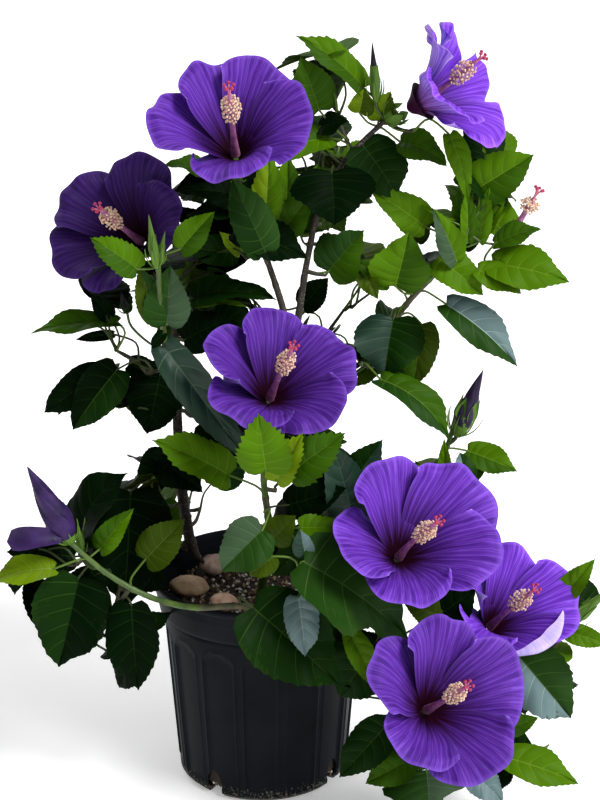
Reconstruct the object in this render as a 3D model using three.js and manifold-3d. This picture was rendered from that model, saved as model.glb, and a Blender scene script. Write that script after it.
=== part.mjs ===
// A potted shrub hibiscus about 560 mm tall: two woody stems and their boughs, nine open blooms,
// two furled buds and many leafy masses, in a black fluted nursery pot.
// Millimetres, +Z up. The origin is the middle of the pot's flat underside. The plant's front faces
// -Y, and +X is on the right of someone who stands before it.

import * as THREE from 'three';
import { mergeVertices } from 'three/addons/utils/BufferGeometryUtils.js';
import Module from 'manifold-3d';

const wasm = await Module();
wasm.setup();

// The clear space kept between neighbouring solids.
const GAP = 0.4;

// The pot: a tapered drum under a wider rim band, with a panel between each two upright ridges.
const POT = {
  height: 160,
  wall: 2.2,
  lipRadius: 82.5,
  lipHeight: 5,
  bandTopRadius: 80.4,
  bandFootRadius: 76,
  bandHeight: 28,
  bodyTopRadius: 72.8,
  baseRadius: 63,
  footRadius: 59,
  chamfer: 4,
  floor: 3,
  panels: 14,
  panelDepth: 0.9,
};
const BAND_FOOT = POT.height - POT.bandHeight;
const FLUTE_FOOT = 2 * POT.chamfer;
const FLUTE_TOP = BAND_FOOT - 6;
const DRAIN = { count: 4, width: 13, height: 15, first: -36 };
const SOIL_LEVEL = 138;

// Smooth stones that lie on the soil: where, and how large each way.
const PEBBLES = {
  pebble_tan: { at: [-54, 0], size: [15, 12, 9], turn: 12 },
  pebble_pink: { at: [-38, 40], size: [11, 12, 9], turn: 40 },
  pebble_front: { at: [-27, -27], size: [11, 9, 8], turn: -20 },
};

// Each bloom: where its five petals meet, which way it faces (turn from the front towards +X, and
// rise above the level, in degrees), and the radius of its open face.
const BLOOMS = {
  bloom_top_left: { throat: [-15, -35, 474], turn: -3, rise: 47, radius: 54 },
  bloom_left: { throat: [-85, 12, 404], turn: -26, rise: 30, radius: 51 },
  bloom_center: { throat: [8, -50, 309], turn: 20, rise: 49, radius: 54 },
  bloom_top_right: { throat: [109, 1, 501], turn: 68, rise: 29, radius: 51 },
  bloom_right: { throat: [96, -88, 207], turn: 19, rise: 46, radius: 56 },
  bloom_low_right: { throat: [165, -50, 137], turn: 32, rise: 49, radius: 48 },
  bloom_bottom_right: { throat: [115, -125, 110], turn: 24, rise: 37, radius: 57 },
  bloom_back_top: { throat: [-16, 84, 460], turn: 172, rise: 36, radius: 50 },
  bloom_back_low: { throat: [18, 118, 248], turn: 190, rise: 30, radius: 50 },
};
// One bloom's outline along its axis, as [radius, height] with the face's radius as 1 and heights in
// millimetres: the foot and calyx, the backs of the petals, their rim, their faces and the column.
const CALYX = [[0, -27], [0.1, -24], [0.14, -5]];
const PETAL_BACKS = [[0.32, 8], [0.97, 33]];
const PETAL_FACES = [[1, 36], [0.45, 19], [0.09, 3]];
const COLUMN = [[0.05, 12], [0.12, 44], [0, 60]];
const PETALS = 5;
const PETAL_LOBE = 0.06;
const PEDICEL_GAP = 2.5;

// Furled buds, each from the foot of its calyx to its tip.
const BUDS = {
  bud_left: { foot: [-128, -78, 211], tip: [-155, -82, 268], radius: 10 },
  bud_right: { foot: [137, -25, 284], tip: [155, -25, 319], radius: 9 },
};

// Stems and boughs: the middle line from foot to tip, and the radius at each end. A limb that
// names a bloom or bud runs on to its foot. Those that rise from the soil start below its surface.
const IN_SOIL = SOIL_LEVEL - 8;
const LIMBS = {
  stem_main: {
    route: [[42, 46, IN_SOIL], [38, 32, 182], [31, 12, 228], [24, -2, 274], [22, -5, 318]],
    radii: [4.6, 3.4],
    flare: 3,
  },
  stem_left: {
    route: [[-46, 34, IN_SOIL], [-54, 30, 166], [-60, 14, 226], [-60, -2, 292], [-61, 16, 346], [-61, 34, 374]],
    radii: [4.4, 2.6],
    flare: 2.5,
    carries: 'bloom_left',
  },
  bough_top_left: {
    route: [[21, -6, 322], [14, -10, 372], [2, -14, 400], [-7, -16, 425]],
    radii: [2.2, 1.5],
    carries: 'bloom_top_left',
  },
  bough_top_right: {
    route: [[24, -6, 322], [28, -8, 362], [37, -5, 412], [50, 0, 450]],
    radii: [2.6, 1.6],
    carries: 'bloom_top_right',
  },
  bough_right: {
    route: [[27, -4, 300], [56, 5, 318], [85, 5, 338], [112, 0, 372], [132, 0, 394], [150, 2, 424]],
    radii: [2.9, 1.6],
  },
  bough_middle_right: {
    route: [[42, 28, 186], [72, 10, 213], [104, -8, 232], [127, -22, 252]],
    radii: [2.6, 1.6],
    carries: 'bud_right',
  },
  shoot_center: {
    route: [[-2, 2, IN_SOIL], [3, -15, 172], [6, -38, 205], [4, -66, 242], [3, -92, 275]],
    radii: [3.2, 2],
    flare: 1.5,
  },
  shoot_left: {
    route: [[-67, -8, 318], [-65, -32, 342], [-66, -52, 380], [-66, -58, 412]],
    radii: [2.2, 1.6],
  },
  bough_low_left: {
    route: [[10, -45, IN_SOIL], [-2, -74, 165], [-30, -86, 166], [-66, -78, 168], [-97, -76, 182]],
    radii: [2.6, 1.7],
    flare: 1.5,
    carries: 'bud_left',
  },
  bough_low_front: {
    route: [[46, -22, IN_SOIL], [60, -48, 166], [76, -68, 164], [88, -84, 126]],
    radii: [3.4, 2.2],
    flare: 1.5,
    carries: 'bloom_bottom_right',
  },
  bough_low_right: {
    route: [[58, 0, IN_SOIL], [74, -10, 166], [96, -20, 167], [124, -28, 148]],
    radii: [3.2, 2],
    flare: 1.5,
    carries: 'bloom_low_right',
  },
  bough_back_upper: {
    route: [[22, 4, 328], [14, 22, 358], [2, 34, 392], [-8, 44, 420]],
    radii: [2.6, 1.6],
    carries: 'bloom_back_top',
  },
  bough_back_low: {
    route: [[40, 44, 176], [38, 58, 192], [32, 72, 210]],
    radii: [2.8, 1.8],
    carries: 'bloom_back_low',
  },
};
const LIMB_SIDES = 6;
const LIMB_STEP = 34;
const FLARE_REACH = 14;

// Masses of foliage: the middle, the half-length each way, and the lean of the long side in degrees
// (up towards +X). Large ones have more facets.
const MASSES = {
  leaves_crown_tip: { at: [52, 14, 512], half: [34, 21, 31], lean: -38 },
  leaves_upper_middle: { at: [58, 4, 430], half: [42, 27, 56], lean: 5 },
  leaves_upper_left: { at: [-18, 20, 440], half: [56, 24, 28], lean: 0 },
  leaves_middle_left: { at: [-27, 12, 374], half: [46, 28, 42], lean: 20 },
  leaves_left_shoot: { at: [-74, -56, 392], half: [38, 12, 36], lean: 15 },
  leaves_left_tip: { at: [-128, -5, 353], half: [36, 16, 19], lean: 5 },
  leaves_left_lower: { at: [-107, 0, 296], half: [53, 22, 27], lean: 25 },
  leaves_center_left: { at: [-42, -36, 284], half: [32, 34, 52], lean: 25 },
  leaves_left_stem: { at: [-90, -28, 208], half: [43, 30, 60], lean: 25 },
  leaves_low_left_tip: { at: [-160, -70, 190], half: [31, 13, 21], lean: 25 },
  leaves_low_left_hanging: { at: [-142, -72, 146], half: [25, 13, 39], lean: 15 },
  leaves_low_left_inner: { at: [-93, -76, 130], half: [23, 12, 37], lean: -5 },
  leaves_center_shoot: { at: [24, -104, 290], half: [37, 15, 27], lean: 0 },
  leaves_center_low: { at: [28, -56, 228], half: [50, 20, 42], lean: 40 },
  leaves_pot_front: { at: [42, -106, 176], half: [61, 15, 47], lean: -25 },
  leaves_low_middle: { at: [66, -94, 108], half: [19, 13, 53], lean: 0 },
  leaves_bottom: { at: [112, -118, 56], half: [50, 13, 27], lean: 0 },
  leaves_right_foot: { at: [190, -110, 68], half: [31, 12, 25], lean: -20 },
  leaves_right_hip: { at: [202, -62, 99], half: [25, 12, 33], lean: -30 },
  leaves_right_low_tip: { at: [232, -40, 152], half: [18, 12, 36], lean: -10 },
  leaves_right_middle: { at: [128, -20, 280], half: [54, 22, 31], lean: -25 },
  leaves_right_inner: { at: [96, 0, 331], half: [27, 22, 36], lean: 20 },
  leaves_right_tip: { at: [156, 0, 341], half: [19, 14, 34], lean: 35 },
  leaves_shoulder_inner: { at: [107, 8, 407], half: [35, 26, 38], lean: -10 },
  leaves_shoulder_outer: { at: [172, 4, 399], half: [44, 18, 25], lean: -20 },
  leaves_upper_right: { at: [143, 12, 448], half: [46, 21, 33], lean: -20 },
  leaves_back_top: { at: [44, 66, 440], half: [46, 28, 36], lean: 0 },
  leaves_back_left: { at: [-50, 76, 352], half: [48, 32, 42], lean: 0 },
  leaves_back_right: { at: [64, 84, 332], half: [50, 32, 42], lean: 15 },
  leaves_back_low_left: { at: [-72, 74, 182], half: [46, 28, 44], lean: -15 },
  leaves_back_low_right: { at: [86, 90, 182], half: [50, 30, 44], lean: 10 },
};
const LARGE_MASS = 3e5;
const WAVE = { depth: [0.13, 0.11, 0.12], count: [3.9, 4.6, 4.2], shift: [1, 2.3, 1.7] };

const COLOURS = {
  pot: new THREE.MeshStandardMaterial({ color: 0x23262a, roughness: 0.45, metalness: 0 }),
  soil: new THREE.MeshStandardMaterial({ color: 0x2b1d14, roughness: 0.95, metalness: 0 }),
  pebble: new THREE.MeshStandardMaterial({ color: 0xa88a6c, roughness: 0.7, metalness: 0 }),
  stem: new THREE.MeshStandardMaterial({ color: 0x6f6350, roughness: 0.85, metalness: 0 }),
  shoot: new THREE.MeshStandardMaterial({ color: 0x5f8a35, roughness: 0.6, metalness: 0 }),
  petal: new THREE.MeshStandardMaterial({ color: 0x5b2fb0, roughness: 0.6, metalness: 0 }),
  leaf: new THREE.MeshStandardMaterial({ color: 0x2f6524, roughness: 0.5, metalness: 0 }),
};

const UP = new THREE.Vector3(0, 0, 1);
const radians = THREE.MathUtils.degToRad;
const point = (xyz) => new THREE.Vector3(...xyz);

// A closed geometry as a solid, turned the right way out.
function toSolid(geometry) {
  const bare = new THREE.BufferGeometry();
  bare.setAttribute('position', geometry.getAttribute('position'));
  bare.setIndex(geometry.index);
  const merged = mergeVertices(bare, 1e-4);
  const triVerts = new Uint32Array(merged.index.array);
  const vertProperties = merged.getAttribute('position').array;
  return new wasm.Manifold(new wasm.Mesh({ numProp: 3, vertProperties, triVerts }));
}

// A solid as a geometry in flat facets.
function toGeometry(solid) {
  const mesh = solid.getMesh();
  const indexed = new THREE.BufferGeometry();
  indexed.setAttribute('position', new THREE.BufferAttribute(new Float32Array(mesh.vertProperties), 3));
  indexed.setIndex(new THREE.BufferAttribute(new Uint32Array(mesh.triVerts), 1));
  const geometry = indexed.toNonIndexed();
  geometry.computeVertexNormals();
  return geometry;
}

// Where a piece stands: a position, and the turn that takes its own +Z to the axis given.
function placing(position, axis = UP, lean = 0) {
  const place = new THREE.Object3D();
  place.position.copy(position);
  place.quaternion.setFromUnitVectors(UP, axis.clone().normalize());
  place.rotateY(-radians(lean));
  place.updateMatrix();
  return place.matrix;
}

// A profile of [radius, height] pairs, foot first, spun about +Z.
function spin(profile, segments) {
  const points = profile.map(([radius, height]) => new THREE.Vector2(radius, height));
  return new THREE.LatheGeometry(points, segments).rotateX(Math.PI / 2);
}

// Moves each vertex to where the given function sends it.
function reshape(geometry, move) {
  const positions = geometry.getAttribute('position');
  const vertex = new THREE.Vector3();
  for (let i = 0; i < positions.count; i += 1) {
    vertex.fromBufferAttribute(positions, i);
    move(vertex);
    positions.setXYZ(i, vertex.x, vertex.y, vertex.z);
  }
  return geometry;
}

// The pot's shell, fluted outside between the foot and the band, with drain holes at the foot.
function potSolid() {
  const lipFoot = POT.height - POT.lipHeight;
  const inner = POT.wall + POT.panelDepth;
  const profile = [
    [0, 0],
    [POT.footRadius, 0],
    [POT.baseRadius, POT.chamfer],
    [POT.baseRadius + 0.4, FLUTE_FOOT],
    [POT.bodyTopRadius - 0.2, FLUTE_TOP],
    [POT.bodyTopRadius, BAND_FOOT - 2],
    [POT.bandFootRadius, BAND_FOOT],
    [POT.bandTopRadius, lipFoot],
    [POT.lipRadius, lipFoot + 1],
    [POT.lipRadius, POT.height - 1],
    [POT.lipRadius - 1, POT.height],
    [POT.bandTopRadius - POT.wall, POT.height],
    [POT.bandFootRadius - POT.wall, BAND_FOOT + POT.wall],
    [POT.bodyTopRadius - inner, BAND_FOOT - POT.wall],
    [POT.baseRadius - inner, POT.chamfer + POT.floor],
    [POT.footRadius - inner, POT.floor],
    [0, POT.floor],
  ];
  const shell = spin(profile, 2 * POT.panels);
  const pitch = (2 * Math.PI) / POT.panels;
  const taper = (POT.bodyTopRadius - POT.baseRadius) / BAND_FOOT;
  reshape(shell, (v) => {
    const radius = Math.hypot(v.x, v.y);
    const outside = radius > POT.baseRadius - 1 + v.z * taper;
    if (!outside || v.z < FLUTE_FOOT - 1 || v.z > FLUTE_TOP + 1) return;
    const turns = Math.atan2(v.y, v.x) / pitch;
    const onPanel = Math.cos(2 * Math.PI * turns) < 0;
    const scale = onPanel ? 1 - POT.panelDepth / radius : 1;
    v.x *= scale;
    v.y *= scale;
  });
  return drained(toSolid(shell));
}

// The pot with its drain holes cut through the corner between wall and floor.
function drained(shell) {
  let pot = shell;
  for (let i = 0; i < DRAIN.count; i += 1) {
    const angle = radians(DRAIN.first - 90 + (i * 360) / DRAIN.count);
    const hole = new THREE.CylinderGeometry(DRAIN.width / 2, DRAIN.width / 2, 20, 10);
    hole.scale(1, 1, (2 * DRAIN.height) / DRAIN.width).rotateZ(Math.PI / 2).rotateZ(angle);
    hole.translate(Math.cos(angle) * POT.baseRadius, Math.sin(angle) * POT.baseRadius, 3);
    pot = pot.subtract(toSolid(hole));
  }
  return pot;
}

// The potting mix, which fills the pot to a little below the rim.
function soilGeometry(grow) {
  const inner = POT.wall + POT.panelDepth + 1 - grow;
  const collar = POT.bandFootRadius - POT.wall - 1 + grow;
  const profile = [
    [0, POT.floor + GAP],
    [POT.footRadius - inner - 2, POT.floor + GAP],
    [POT.baseRadius - inner, POT.chamfer + POT.floor + 2],
    [POT.bodyTopRadius - inner, BAND_FOOT - POT.wall],
    [collar, BAND_FOOT + POT.wall + 1],
    [collar, SOIL_LEVEL + grow],
    [0, SOIL_LEVEL + grow],
  ];
  return spin(profile, 2 * POT.panels);
}

function pebbleGeometry(size, grow) {
  const [x, y, z] = size.map((half) => half + grow);
  return new THREE.IcosahedronGeometry(1, 1).scale(x, y, z);
}

// The unit vector along a bloom's axis, out of its face.
function facing({ turn, rise }) {
  const level = Math.cos(radians(rise));
  return new THREE.Vector3(
    level * Math.sin(radians(turn)),
    -level * Math.cos(radians(turn)),
    Math.sin(radians(rise)),
  );
}

// Calyx, five petals as one lobed dish, and the column, about +Z with the throat at the origin.
function bloomGeometry(radius, grow) {
  const front = [...PETAL_FACES, ...COLUMN].map(([r, height]) => [r, height + grow]);
  const back = [...CALYX, ...PETAL_BACKS].map(([r, height]) => [r, height - grow]);
  const profile = [...back, ...front].map(([r, height]) => [r * radius + (r > 0 ? grow : 0), height]);
  const lobe = 2 * Math.PI / PETALS;
  return reshape(spin(profile, 3 * PETALS), (v) => {
    const reach = Math.hypot(v.x, v.y) / radius;
    if (reach < 0.3) return;
    const swell = 1 + PETAL_LOBE * reach * Math.cos((Math.atan2(v.y, v.x) / lobe) * 2 * Math.PI);
    v.x *= swell;
    v.y *= swell;
  });
}

// A furled bud about +Z from the foot of its calyx.
function budGeometry(length, radius, grow) {
  const shape = [[0, 0], [0.55, 0.06], [1, 0.3], [0.82, 0.55], [0.35, 0.85], [0, 1]];
  const profile = shape.map(([r, t]) => [
    r * radius + (r > 0 ? grow : 0),
    t * length + (2 * t - 1) * grow,
  ]);
  return spin(profile, 8);
}

// A tapering limb along its route, round in section, with a flare at the foot where it has one.
function limbGeometry({ points, radii, flare = 0 }, grow) {
  const curve = new THREE.CatmullRomCurve3(points, false, 'centripetal');
  const length = curve.getLength();
  const steps = Math.max(3, Math.round(length / LIMB_STEP));
  const frames = curve.computeFrenetFrames(steps);
  const shape = new THREE.CylinderGeometry(1, 1, 1, LIMB_SIDES, steps);
  return reshape(shape, (v) => {
    const step = Math.round((v.y + 0.5) * steps);
    const along = step / steps;
    const taper = THREE.MathUtils.lerp(radii[0], radii[1], along);
    const radius = taper + flare * Math.exp((-along * length) / FLARE_REACH) + grow;
    const out = frames.binormals[step].clone().multiplyScalar(v.x * radius);
    out.addScaledVector(frames.normals[step], v.z * radius);
    out.addScaledVector(frames.tangents[step], (2 * v.y) * grow * (step === 0 || step === steps ? 1 : 0));
    v.copy(curve.getPointAt(along)).add(out);
  });
}

// An uneven mass of leaves about its own middle.
function massGeometry(half, seed, grow) {
  const volume = half[0] * half[1] * half[2] * 4;
  const detail = volume > LARGE_MASS ? 2 : 1;
  return reshape(new THREE.IcosahedronGeometry(1, detail), (v) => {
    const wave = [v.x, v.y, v.z].reduce(
      (sum, c, i) => sum + WAVE.depth[i] * Math.sin(WAVE.count[i] * c + seed * WAVE.shift[i]),
      1,
    );
    v.set(v.x * (half[0] * wave + grow), v.y * (half[1] * wave + grow), v.z * (half[2] * wave + grow));
  });
}

// Every solid made so far, each with a slightly larger copy that later ones are cut by.
const made = [];

// The largest single body of a solid.
function largest(solid) {
  const bodies = solid.decompose();
  return bodies.reduce((best, body) => (body.volume() > best.volume() ? body : best));
}

function boxesMeet(a, b) {
  return [0, 1, 2].every((i) => a.min[i] < b.max[i] && b.min[i] < a.max[i]);
}

// Adds one named mesh to a group: shape(grow) gives its geometry about its own place, and it is cut
// clear of everything made before it.
function addPart(group, name, material, shape, place) {
  const placed = (grow) => toSolid(shape(grow).applyMatrix4(place));
  let solid = placed(0);
  for (const other of made) {
    if (boxesMeet(solid.boundingBox(), other.boundingBox())) solid = solid.subtract(other);
  }
  solid = largest(solid);
  made.push(placed(GAP));
  const mesh = new THREE.Mesh(toGeometry(solid).applyMatrix4(place.clone().invert()), material);
  mesh.name = name;
  mesh.applyMatrix4(place);
  group.add(mesh);
}

function addPot(group) {
  const mesh = new THREE.Mesh(toGeometry(potSolid()), COLOURS.pot);
  mesh.name = 'pot';
  group.add(mesh);
  made.push(potSolid());
  addPart(group, 'soil', COLOURS.soil, soilGeometry, placing(point([0, 0, 0])));
  for (const [name, { at, size, turn }] of Object.entries(PEBBLES)) {
    const place = placing(point([...at, SOIL_LEVEL + 0.6 * size[2]]));
    place.multiply(new THREE.Matrix4().makeRotationZ(radians(turn)));
    addPart(group, name, COLOURS.pebble, (grow) => pebbleGeometry(size, grow), place);
  }
}

// The foot of each bloom and bud, where its limb ends.
function footOf(name) {
  if (name in BUDS) return point(BUDS[name].foot);
  const bloom = BLOOMS[name];
  const back = CALYX[0][1] - PEDICEL_GAP;
  return point(bloom.throat).addScaledVector(facing(bloom), back);
}

function addLimbs(group) {
  for (const [name, limb] of Object.entries(LIMBS)) {
    const points = limb.route.map(point);
    if (limb.carries) points.push(footOf(limb.carries));
    const foot = points[0];
    const local = points.map((p) => p.clone().sub(foot));
    const material = name.startsWith('shoot') ? COLOURS.shoot : COLOURS.stem;
    addPart(group, name, material, (grow) => limbGeometry({ ...limb, points: local }, grow), placing(foot));
  }
}

function addBlooms(group) {
  for (const [name, bloom] of Object.entries(BLOOMS)) {
    const place = placing(point(bloom.throat), facing(bloom));
    addPart(group, name, COLOURS.petal, (grow) => bloomGeometry(bloom.radius, grow), place);
  }
  for (const [name, { foot, tip, radius }] of Object.entries(BUDS)) {
    const along = point(tip).sub(point(foot));
    const place = placing(point(foot).addScaledVector(along, 0.02), along);
    addPart(group, name, COLOURS.petal, (grow) => budGeometry(along.length(), radius, grow), place);
  }
}

function addFoliage(group) {
  Object.entries(MASSES).forEach(([name, { at, half, lean }], seed) => {
    const place = placing(point(at), UP, lean);
    addPart(group, name, COLOURS.leaf, (grow) => massGeometry(half, seed, grow), place);
  });
}

function buildPlant() {
  const plant = new THREE.Group();
  for (const addTo of [addPot, addLimbs, addBlooms, addFoliage]) {
    const group = new THREE.Group();
    addTo(group);
    plant.add(group);
  }
  return plant;
}

export default buildPlant();
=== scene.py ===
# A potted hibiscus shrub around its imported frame: a fluted nursery pot with its mix and stones,
# stems with bark, twigs and leaves grown on from them, violet blooms and furled buds.
# Metres, +Z up. The plant's front faces -Y, and +X is on the right of someone who stands before it.

import math
import bpy
import numpy as np
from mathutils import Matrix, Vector, kdtree, noise
from mathutils.bvhtree import BVHTree


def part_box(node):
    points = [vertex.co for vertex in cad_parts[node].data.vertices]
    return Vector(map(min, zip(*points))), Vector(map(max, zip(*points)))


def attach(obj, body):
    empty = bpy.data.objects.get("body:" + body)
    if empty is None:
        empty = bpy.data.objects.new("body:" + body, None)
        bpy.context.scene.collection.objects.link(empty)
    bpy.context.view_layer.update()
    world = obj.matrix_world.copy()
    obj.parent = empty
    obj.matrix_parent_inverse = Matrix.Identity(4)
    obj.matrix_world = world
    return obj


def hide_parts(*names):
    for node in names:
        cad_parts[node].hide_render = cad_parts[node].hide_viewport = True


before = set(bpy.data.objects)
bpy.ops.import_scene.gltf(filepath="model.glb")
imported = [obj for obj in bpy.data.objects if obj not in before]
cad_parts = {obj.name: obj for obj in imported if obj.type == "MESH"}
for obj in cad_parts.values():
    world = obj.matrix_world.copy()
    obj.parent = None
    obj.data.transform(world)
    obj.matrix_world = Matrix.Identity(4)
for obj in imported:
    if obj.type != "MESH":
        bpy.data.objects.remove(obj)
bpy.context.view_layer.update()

MM = 0.001
SEED = 41
TURN = 2 * math.pi
PETALS = 5
UP = np.array([0.0, 0.0, 1.0])

# The camera: where it stands, how far it looks down, and its lens on a 36 mm sensor.
CAMERA_PLACE = (0.028, -1.150, 0.657)
CAMERA_PITCH = 17.7
CAMERA_LENS = 75.9

ROOM_LIGHT = 0.36
FLOOR_GLOW = 0.30
FLOOR_HALF = 30.0


# ---------------------------------------------------------------- small helpers

def box_of(node):
    """A node's lowest and highest corner as arrays."""
    low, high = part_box(node)
    return np.array(low), np.array(high)


def unit(vectors):
    return vectors / np.linalg.norm(vectors, axis=-1, keepdims=True)


def smooth_step(low, high, values):
    t = np.clip((values - low) / (high - low), 0, 1)
    return t * t * (3 - 2 * t)


def square_to(direction, wanted):
    """The unit vector nearest to the wanted one that is square to a unit direction."""
    flat = wanted - direction * np.dot(wanted, direction)
    if np.linalg.norm(flat) < 1e-4:
        flat = np.cross(direction, np.array([0.3, 0.9, 0.1]))
    return unit(flat)


def spoke(right, up, angle):
    """The direction at an angle from right towards up."""
    return right * math.cos(angle) + up * math.sin(angle)


def placed_at(origin, right, up, axis):
    """Gives the function that takes points from a part's own frame to its place on the plant."""
    def place(points):
        return origin + points[..., :1] * right + points[..., 1:2] * up + points[..., 2:] * axis
    return place


def spline(points, values, step):
    """A smooth curve through points, sampled about every step, with a value that goes along."""
    points = np.asarray(points, float)
    values = np.asarray(values, float)
    ends = np.vstack([2 * points[0] - points[1], points, 2 * points[-1] - points[-2]])
    route, along = [], []
    for i in range(len(points) - 1):
        a, b, c, d = ends[i:i + 4]
        count = max(2, int(round(np.linalg.norm(c - b) / step)))
        t = np.arange(count)[:, None] / count
        route.append(0.5 * (2 * b + (c - a) * t + (2 * a - 5 * b + 4 * c - d) * t ** 2
                            + (3 * b - a - 3 * c + d) * t ** 3))
        along.append(values[i] + (values[i + 1] - values[i]) * t[:, 0])
    route.append(points[-1:])
    along.append(values[-1:])
    return np.vstack(route), np.concatenate(along)


def frames_along(route):
    """Two unit vectors square to the route at each of its points, turning as little as they can."""
    tangents = unit(np.gradient(route, axis=0))
    first = square_to(tangents[0], np.array([0.2, -1.0, 0.1]))
    sides = [first]
    for tangent in tangents[1:]:
        sides.append(square_to(tangent, sides[-1]))
    sides = np.array(sides)
    return sides, np.cross(tangents, sides)


def grid_faces(rows, columns, closed=False):
    """The quads of a grid of points, row after row; a closed one joins its last column to its first."""
    wide = columns if closed else columns - 1
    r, c = np.meshgrid(np.arange(rows - 1), np.arange(wide), indexing="ij")
    here = (r * columns + c).ravel()
    right = (r * columns + (c + 1) % columns).ravel()
    return np.stack([here, right, right + columns, here + columns], axis=1)


class Shapes:
    """Shapes gathered into one mesh, each face with the number of its material."""

    def __init__(self):
        self.points, self.faces, self.numbers, self.maps = [], [], [], []
        self.total = 0

    def add(self, points, *groups):
        """Adds points and groups of faces, each (faces, numbers) or (faces, numbers, {map: corner uv})."""
        for faces, numbers, *maps in groups:
            faces = np.asarray(faces)
            self.faces += (faces + self.total).tolist()
            self.numbers.append(np.broadcast_to(numbers, len(faces)))
            self.maps += maps
        self.points.append(np.asarray(points, float).reshape(-1, 3))
        self.total += len(self.points[-1])

    def make(self, name, materials, slot, sharp=50, replaces=()):
        """One mesh object of all the shapes, on the plant's body."""
        mesh = bpy.data.meshes.new(name)
        mesh.from_pydata(np.vstack(self.points).tolist(), [], self.faces)
        for material in materials:
            mesh.materials.append(material)
        mesh.polygons.foreach_set("material_index", np.concatenate(self.numbers).astype(np.int32))
        mesh.polygons.foreach_set("use_smooth", np.ones(len(mesh.polygons), bool))
        for label in (self.maps[0] if self.maps else ()):
            corners = np.concatenate([m[label].reshape(-1, 2) for m in self.maps])
            mesh.uv_layers.new(name=label).data.foreach_set("uv", corners.ravel())
        mesh.set_sharp_from_angle(angle=math.radians(sharp))
        mesh.update()
        piece = bpy.data.objects.new(name, mesh)
        bpy.context.scene.collection.objects.link(piece)
        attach(piece, "root")
        if replaces:
            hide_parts(*replaces)
        return piece


def add_tube(shapes, route, radii, sides, number=0, relief=None):
    """Adds a closed tube of one material or one for each row; relief(angles, lengths) gives how far
    each of its points stands out."""
    first, second = frames_along(route)
    angles = np.arange(sides) * TURN / sides
    lengths = np.concatenate([[0], np.cumsum(np.linalg.norm(np.diff(route, axis=0), axis=1))])
    out = (np.cos(angles)[None, :, None] * first[:, None]
           + np.sin(angles)[None, :, None] * second[:, None])
    reach = np.repeat(np.asarray(radii)[:, None], sides, axis=1)
    if relief:
        reach = reach + relief(angles[None, :], lengths[:, None])
    points = route[:, None] + out * reach[:, :, None]
    rows = len(route)
    numbers = np.broadcast_to(number, rows)
    ring = np.arange(sides)
    after = (ring + 1) % sides
    last = (rows - 1) * sides
    caps = np.concatenate([
        np.stack([np.full(sides, rows * sides), after, ring], axis=1),
        np.stack([np.full(sides, rows * sides + 1), last + ring, last + after], axis=1),
    ])
    points = np.vstack([points.reshape(-1, 3), route[:1], route[-1:]])
    shapes.add(points, (grid_faces(rows, sides, closed=True), np.repeat(numbers[:-1], sides)),
               (caps, np.repeat(numbers[[0, -1]], sides)))


def add_lathe(shapes, profile, sides, number=0, reshape=None, place=None):
    """Adds [radius, height] pairs spun about +Z; ends at radius 0 close to a point."""
    profile = np.asarray(profile, float)
    angles = np.arange(sides) * TURN / sides
    radius = np.maximum(profile[:, :1], 1e-6)
    points = np.stack([radius * np.cos(angles), radius * np.sin(angles),
                       np.repeat(profile[:, 1:], sides, axis=1)], axis=-1)
    if reshape:
        points = reshape(points, angles)
    if place:
        points = place(points)
    shapes.add(points, (grid_faces(len(profile), sides, closed=True), number))


def ball_profile(rings):
    """A ball of radius 1 as (radius, height) pairs from its lowest point to its highest."""
    return [(math.sin(a), -math.cos(a)) for a in np.linspace(0, math.pi, rings)]


# ---------------------------------------------------------------- materials

def new_material(name, color, roughness=0.5, **sockets):
    """A Principled material with one colour, and the shader's other sockets as given."""
    material = bpy.data.materials.new(name)
    material.use_nodes = True
    shader = material.node_tree.nodes["Principled BSDF"]
    shader.inputs["Base Color"].default_value = (*color, 1)
    shader.inputs["Roughness"].default_value = roughness
    for socket, value in sockets.items():
        shader.inputs[socket.replace("_", " ")].default_value = value
    return material


def node(material, kind, links=None, **settings):
    """Adds a shader node, sets its properties and values, and links its inputs."""
    made = material.node_tree.nodes.new(kind)
    for key, value in settings.items():
        setattr(made, key, value)
    for socket, source in (links or {}).items():
        if isinstance(source, bpy.types.NodeSocket):
            material.node_tree.links.new(source, made.inputs[socket])
        else:
            made.inputs[socket].default_value = source
    return made


def ramp(material, source, stops):
    """A colour ramp over a source, from (position, colour) stops."""
    made = node(material, "ShaderNodeValToRGB", {"Fac": source})
    elements = made.color_ramp.elements
    while len(elements) < len(stops):
        elements.new(0.5)
    for element, (position, color) in zip(elements, stops):
        element.position = position
        element.color = (*color, 1)
    return made.outputs["Color"]


def mix_of(material, factor, first, second):
    """The mix of two colours, each given as a socket or a value."""
    inputs = {"Factor": factor, "A": first, "B": second}
    return node(material, "ShaderNodeMix", inputs, data_type="RGBA").outputs["Result"]


def math_of(material, operation, *values):
    """The result of a calculation on sockets or numbers."""
    return node(material, "ShaderNodeMath", dict(enumerate(values)), operation=operation).outputs["Value"]


def feed(material, socket, source):
    shader = material.node_tree.nodes["Principled BSDF"]
    material.node_tree.links.new(source, shader.inputs[socket])


def noise_of(material, scale, detail=4, stretch=None, roughness=0.55):
    """A noise pattern in the piece's own metres, drawn out where stretch is below 1."""
    where = node(material, "ShaderNodeTexCoord").outputs["Object"]
    if stretch:
        where = node(material, "ShaderNodeMapping", {"Vector": where, "Scale": stretch}).outputs["Vector"]
    made = node(material, "ShaderNodeTexNoise",
                {"Vector": where, "Scale": scale, "Detail": detail, "Roughness": roughness})
    return made.outputs["Fac"]


def bump(material, source, strength, distance):
    made = node(material, "ShaderNodeBump", {"Height": source, "Strength": strength, "Distance": distance})
    feed(material, "Normal", made.outputs["Normal"])


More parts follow.
